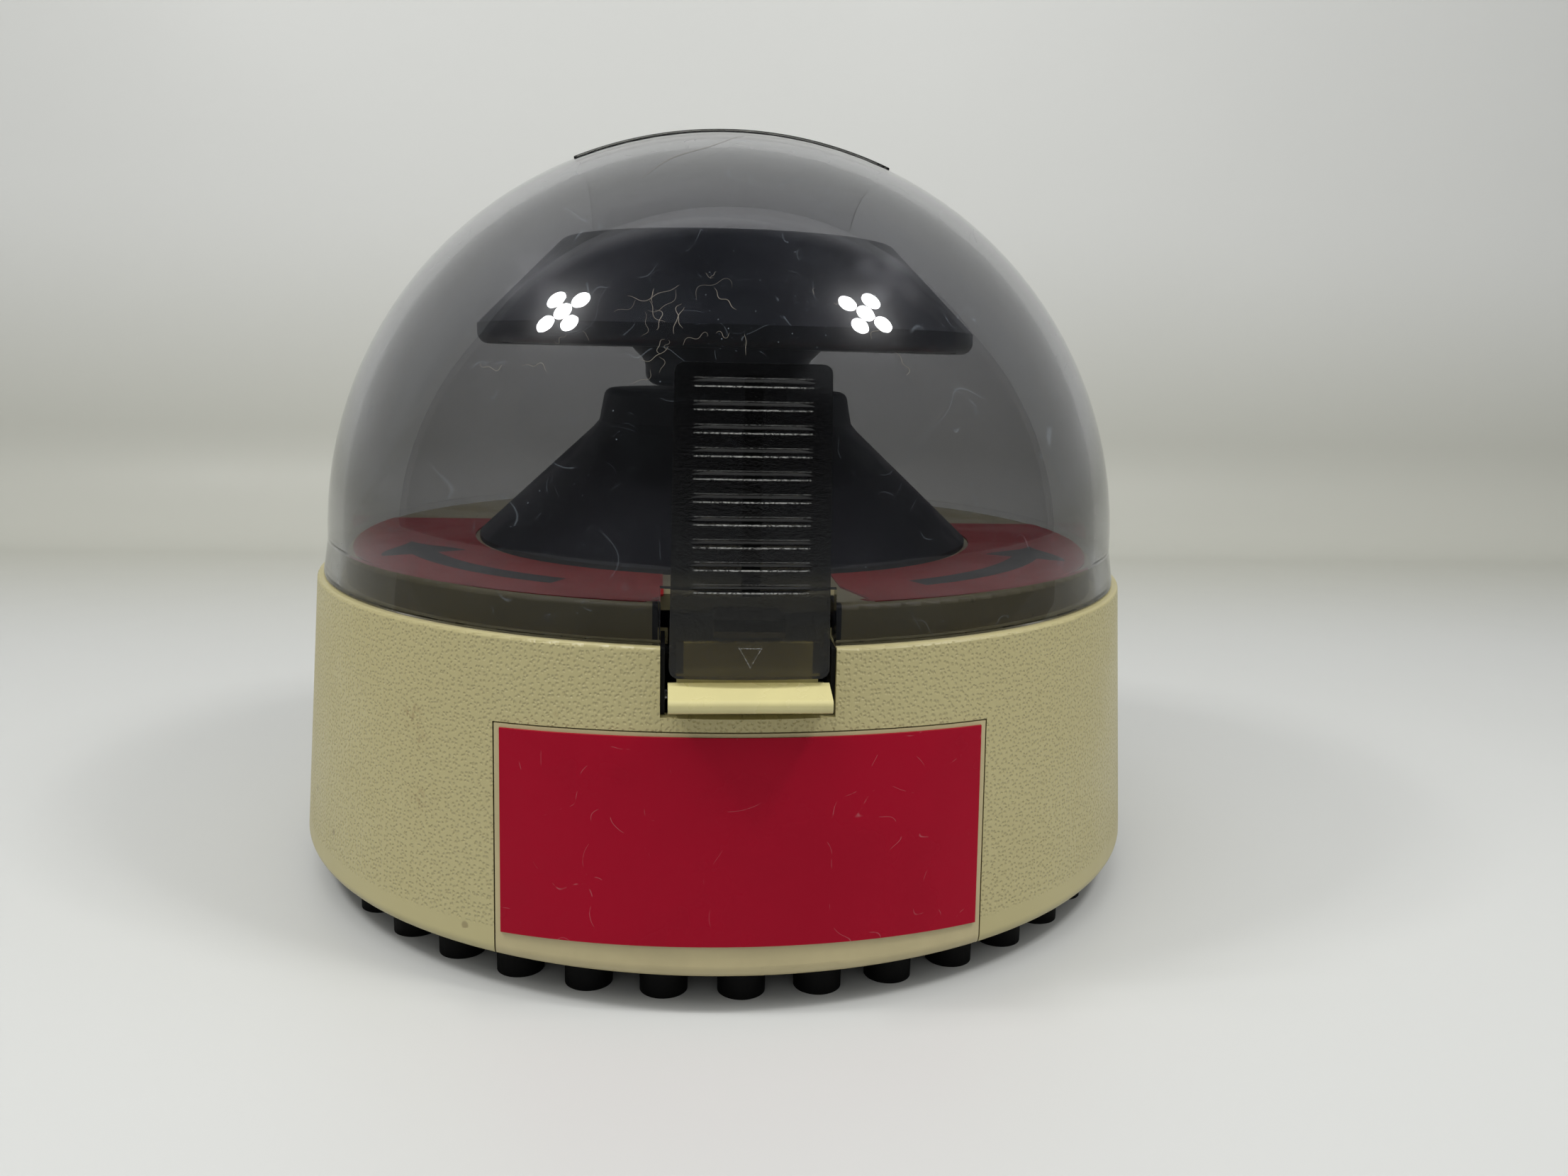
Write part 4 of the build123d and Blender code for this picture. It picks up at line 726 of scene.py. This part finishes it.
# %% The bench and the wall behind it
def backdrop(width, front, back, rise, bend_radius, steps=14):
    """A sheet along the floor and up a wall: a straight run, a quarter circle and a straight rise. On the
    quarter circle y = back - r + r sin(t) and z = r - r cos(t), as t goes from 0 to pi / 2."""
    turn = np.linspace(0.0, math.pi / 2, steps)
    y = np.concatenate([[front, 0.0], back - bend_radius + bend_radius * np.sin(turn), [back]])
    z = np.concatenate([[0.0, 0.0], bend_radius - bend_radius * np.cos(turn), [rise]])
    x = np.array([-width / 2, width / 2])
    points = np.stack([np.repeat(x, len(y)), np.tile(y, 2), np.tile(z, 2)], axis=1)
    i, count = np.arange(len(y) - 1), len(y)
    faces = np.stack([i, i + count, i + count + 1, i + 1], axis=1)
    mesh = bpy.data.meshes.new("bench_and_wall")
    mesh.from_pydata(points.tolist(), [], faces.tolist())
    mesh.polygons.foreach_set("use_smooth", np.ones(len(faces), dtype=bool))
    return mesh


bench = bpy.data.objects.new("bench_and_wall",
                             backdrop(width=4.0, front=-1.6, back=0.36, rise=1.6, bend_radius=0.05))
scene.collection.objects.link(bench)
print("bench faces:", len(bench.data.polygons))

# %% Pale finish of the bench and the wall, with painted shade in the corner
BENCH_TONE = (0.50, 0.505, 0.49)
WALL_TONE = (0.59, 0.593, 0.57)
CORNER_SHADE_TONE = (0.45, 0.45, 0.40)
CORNER_SHADE_FADE = (0.12, 0.33)  # y where the painted corner shade starts and is full
WALL_FADE = (0.02, 0.16)  # height where the wall's tone starts and is full
bench_pale, tree, shader, place = new_material("bench_pale", BENCH_TONE, 0.45)
axes = put(tree, "ShaderNodeSeparateXYZ", Vector=place)
# Painted shade: the bench darkens towards the corner where it bends up into the wall.
floor_tone_with_shade = blend_colour(tree, ramp(tree, out(axes, "Y"), *CORNER_SHADE_FADE), BENCH_TONE, CORNER_SHADE_TONE)
tone = blend_colour(tree, ramp(tree, out(axes, "Z"), *WALL_FADE), floor_tone_with_shade, WALL_TONE)
cloud = put(tree, "ShaderNodeTexNoise", Vector=place, Scale=9.0, Detail=3.0)
feed(tree, shader, Base_Color=tone, Roughness=ramp(tree, out(cloud, "Fac"), 0.3, 0.7, 0.40, 0.52))
from_behind = out(put(tree, "ShaderNodeNewGeometry"), "Backfacing")
show(tree, blend_shaders(tree, from_behind, shader, put(tree, "ShaderNodeBsdfTransparent")))
bench.data.materials.append(bench_pale)
print("material:", bench_pale.name)

# %% [markdown]
# Two soft square lamps hang above, a strong one at the left and a weak one at the
# right. They light the object, but neither the camera nor mirror-like surfaces see
# them, because the photograph shows no such squares in the dome.

# %% Two soft lamps
def place_lamp(name, shape, size, power, place, facing):
    """An area lamp of the given shape and size, at place, that shines along facing. Power in watts."""
    light = bpy.data.lights.new(name, "AREA")
    light.shape = shape
    light.size = size
    light.energy = power
    lamp = bpy.data.objects.new(name, light)
    scene.collection.objects.link(lamp)
    lamp.location = place
    lamp.rotation_euler = facing.to_track_quat("-Z", "Y").to_euler()
    lamp.visible_transmission = False
    return lamp


AIM = Vector((0, 0, 0.05))
SOFT_LAMPS = (  # name, place, size and power
    ("key_lamp", (-0.25, -0.35, 0.95), 0.7, 3.1),
    ("fill_lamp", (0.55, -0.25, 0.7), 0.5, 0.82),
)
for name, place, size, power in SOFT_LAMPS:
    lamp = place_lamp(name, "SQUARE", size, power, place, AIM - Vector(place))
    lamp.visible_camera = False
    lamp.visible_glossy = False
print("soft lamps ready")

# %% [markdown]
# Two clusters of five small round lamps stand in front, one on each side, and the
# dome mirrors them as two bunches of bright discs. Each cluster is one lamp with
# four around it, in the plane square to its direction.

# %% Two clusters of round lamps
CLUSTER_DISTANCE, CLUSTER_SPREAD, DISC_RADIUS, DISC_POWER = 0.45, 0.038, 0.0182, 0.22


def lamp_cluster(name, seen_at, direction, turn):
    """Five disc lamps: the middle one at seen_at + distance * direction, the others on a circle round it."""
    direction = Vector(direction).normalized()
    across = direction.cross(Vector((0, 0, 1))).normalized()
    over = across.cross(direction)
    middle = Vector(seen_at) + CLUSTER_DISTANCE * direction
    angles = [turn + k * math.pi / 2 for k in range(4)]
    places = [middle]
    places += [middle + CLUSTER_SPREAD * (math.cos(a) * across + math.sin(a) * over) for a in angles]
    for k, place in enumerate(places):
        place_lamp(f"{name}_{k}", "DISK", 2 * DISC_RADIUS, DISC_POWER, place, -direction)


lamp_cluster("left_cluster", (-0.0256, -0.0541, 0.0965), (-0.600, -0.088, 0.795), 0.15)
lamp_cluster("right_cluster", (0.0168, -0.0567, 0.0974), (0.505, -0.197, 0.840), -0.30)
print("clusters ready")

# %% [markdown]
# The object stands at the mouth of a light tent. What its gloss mirrors is pale
# behind and beside it and dark in front, where the room is. So the world is one
# plain level, except that mirror-like rays see a dark room in front. The edge
# between the two is where the tent ends, and it draws the pale arc on the dome.
# Where the camera sees past the bench, the world is brighter, like a white sweep.

# %% The world
WORLD_LEVEL, ROOM_SHARE, SWEEP_EXTRA = 0.68, 0.05, 0.25
TENT_LEAN, TENT_EDGE = 0.26, (0.36, 0.44)
WORLD_COLOUR = (0.9, 0.91, 0.92, 1.0)
world = bpy.data.worlds.new("studio")
scene.world = world
world.use_nodes = True
tree = world.node_tree
axes = put(tree, "ShaderNodeSeparateXYZ", Vector=out(put(tree, "ShaderNodeTexCoord"), "Generated"))
leaning = calc(tree, "MULTIPLY_ADD", out(axes, "Z"), TENT_LEAN, out(axes, "Y"))
path = put(tree, "ShaderNodeLightPath")
not_mirrored = calc(tree, "SUBTRACT", 1.0, out(path, "Is Glossy Ray"))
level = calc(tree, "MAXIMUM", ramp(tree, leaning, *TENT_EDGE, ROOM_SHARE, 1.0), not_mirrored)
seen = calc(tree, "MAXIMUM", out(path, "Is Camera Ray"), out(path, "Is Transmission Ray"))
sweep = calc(tree, "MULTIPLY_ADD", seen, SWEEP_EXTRA, 1.0)
background = tree.nodes["Background"]
background.inputs["Color"].default_value = WORLD_COLOUR
feed(tree, background, Strength=times(tree, level, sweep, WORLD_LEVEL))
print("world ready")

# %% [markdown]
# The camera stands where the photograph was taken from: four centimetres above the
# joint and a quarter of a metre from the axis, a little to the left, looking
# slightly down and to its right. It is rolled by just over one degree.

# %% The camera
PHOTO_WIDTH, FOCAL_PIXELS, SENSOR_WIDTH = 2212.0, 1801.0, 36.0
camera_place = Vector((-0.01216, -0.24055, 0.09303))
ahead = Vector((0.0969, 0.9771, -0.1894)).normalized()
roll = math.radians(1.39)
level = ahead.cross(Vector((0, 0, 1))).normalized()
above = level.cross(ahead)
right = math.cos(roll) * level + math.sin(roll) * above
up = right.cross(ahead)
camera_data = bpy.data.cameras.new("camera")
camera_data.sensor_width = SENSOR_WIDTH
camera_data.lens = SENSOR_WIDTH * FOCAL_PIXELS / PHOTO_WIDTH
camera_data.clip_start = 0.01
camera = bpy.data.objects.new("camera", camera_data)
scene.collection.objects.link(camera)
turn = Matrix((right, up, -ahead)).transposed().to_4x4()
camera.matrix_world = Matrix.Translation(camera_place) @ turn
scene.camera = camera
print("camera lens in mm:", round(camera_data.lens, 2))

# %% [markdown]
# The Standard view shows each colour about as it is written.

scene.view_settings.view_transform = "Standard"
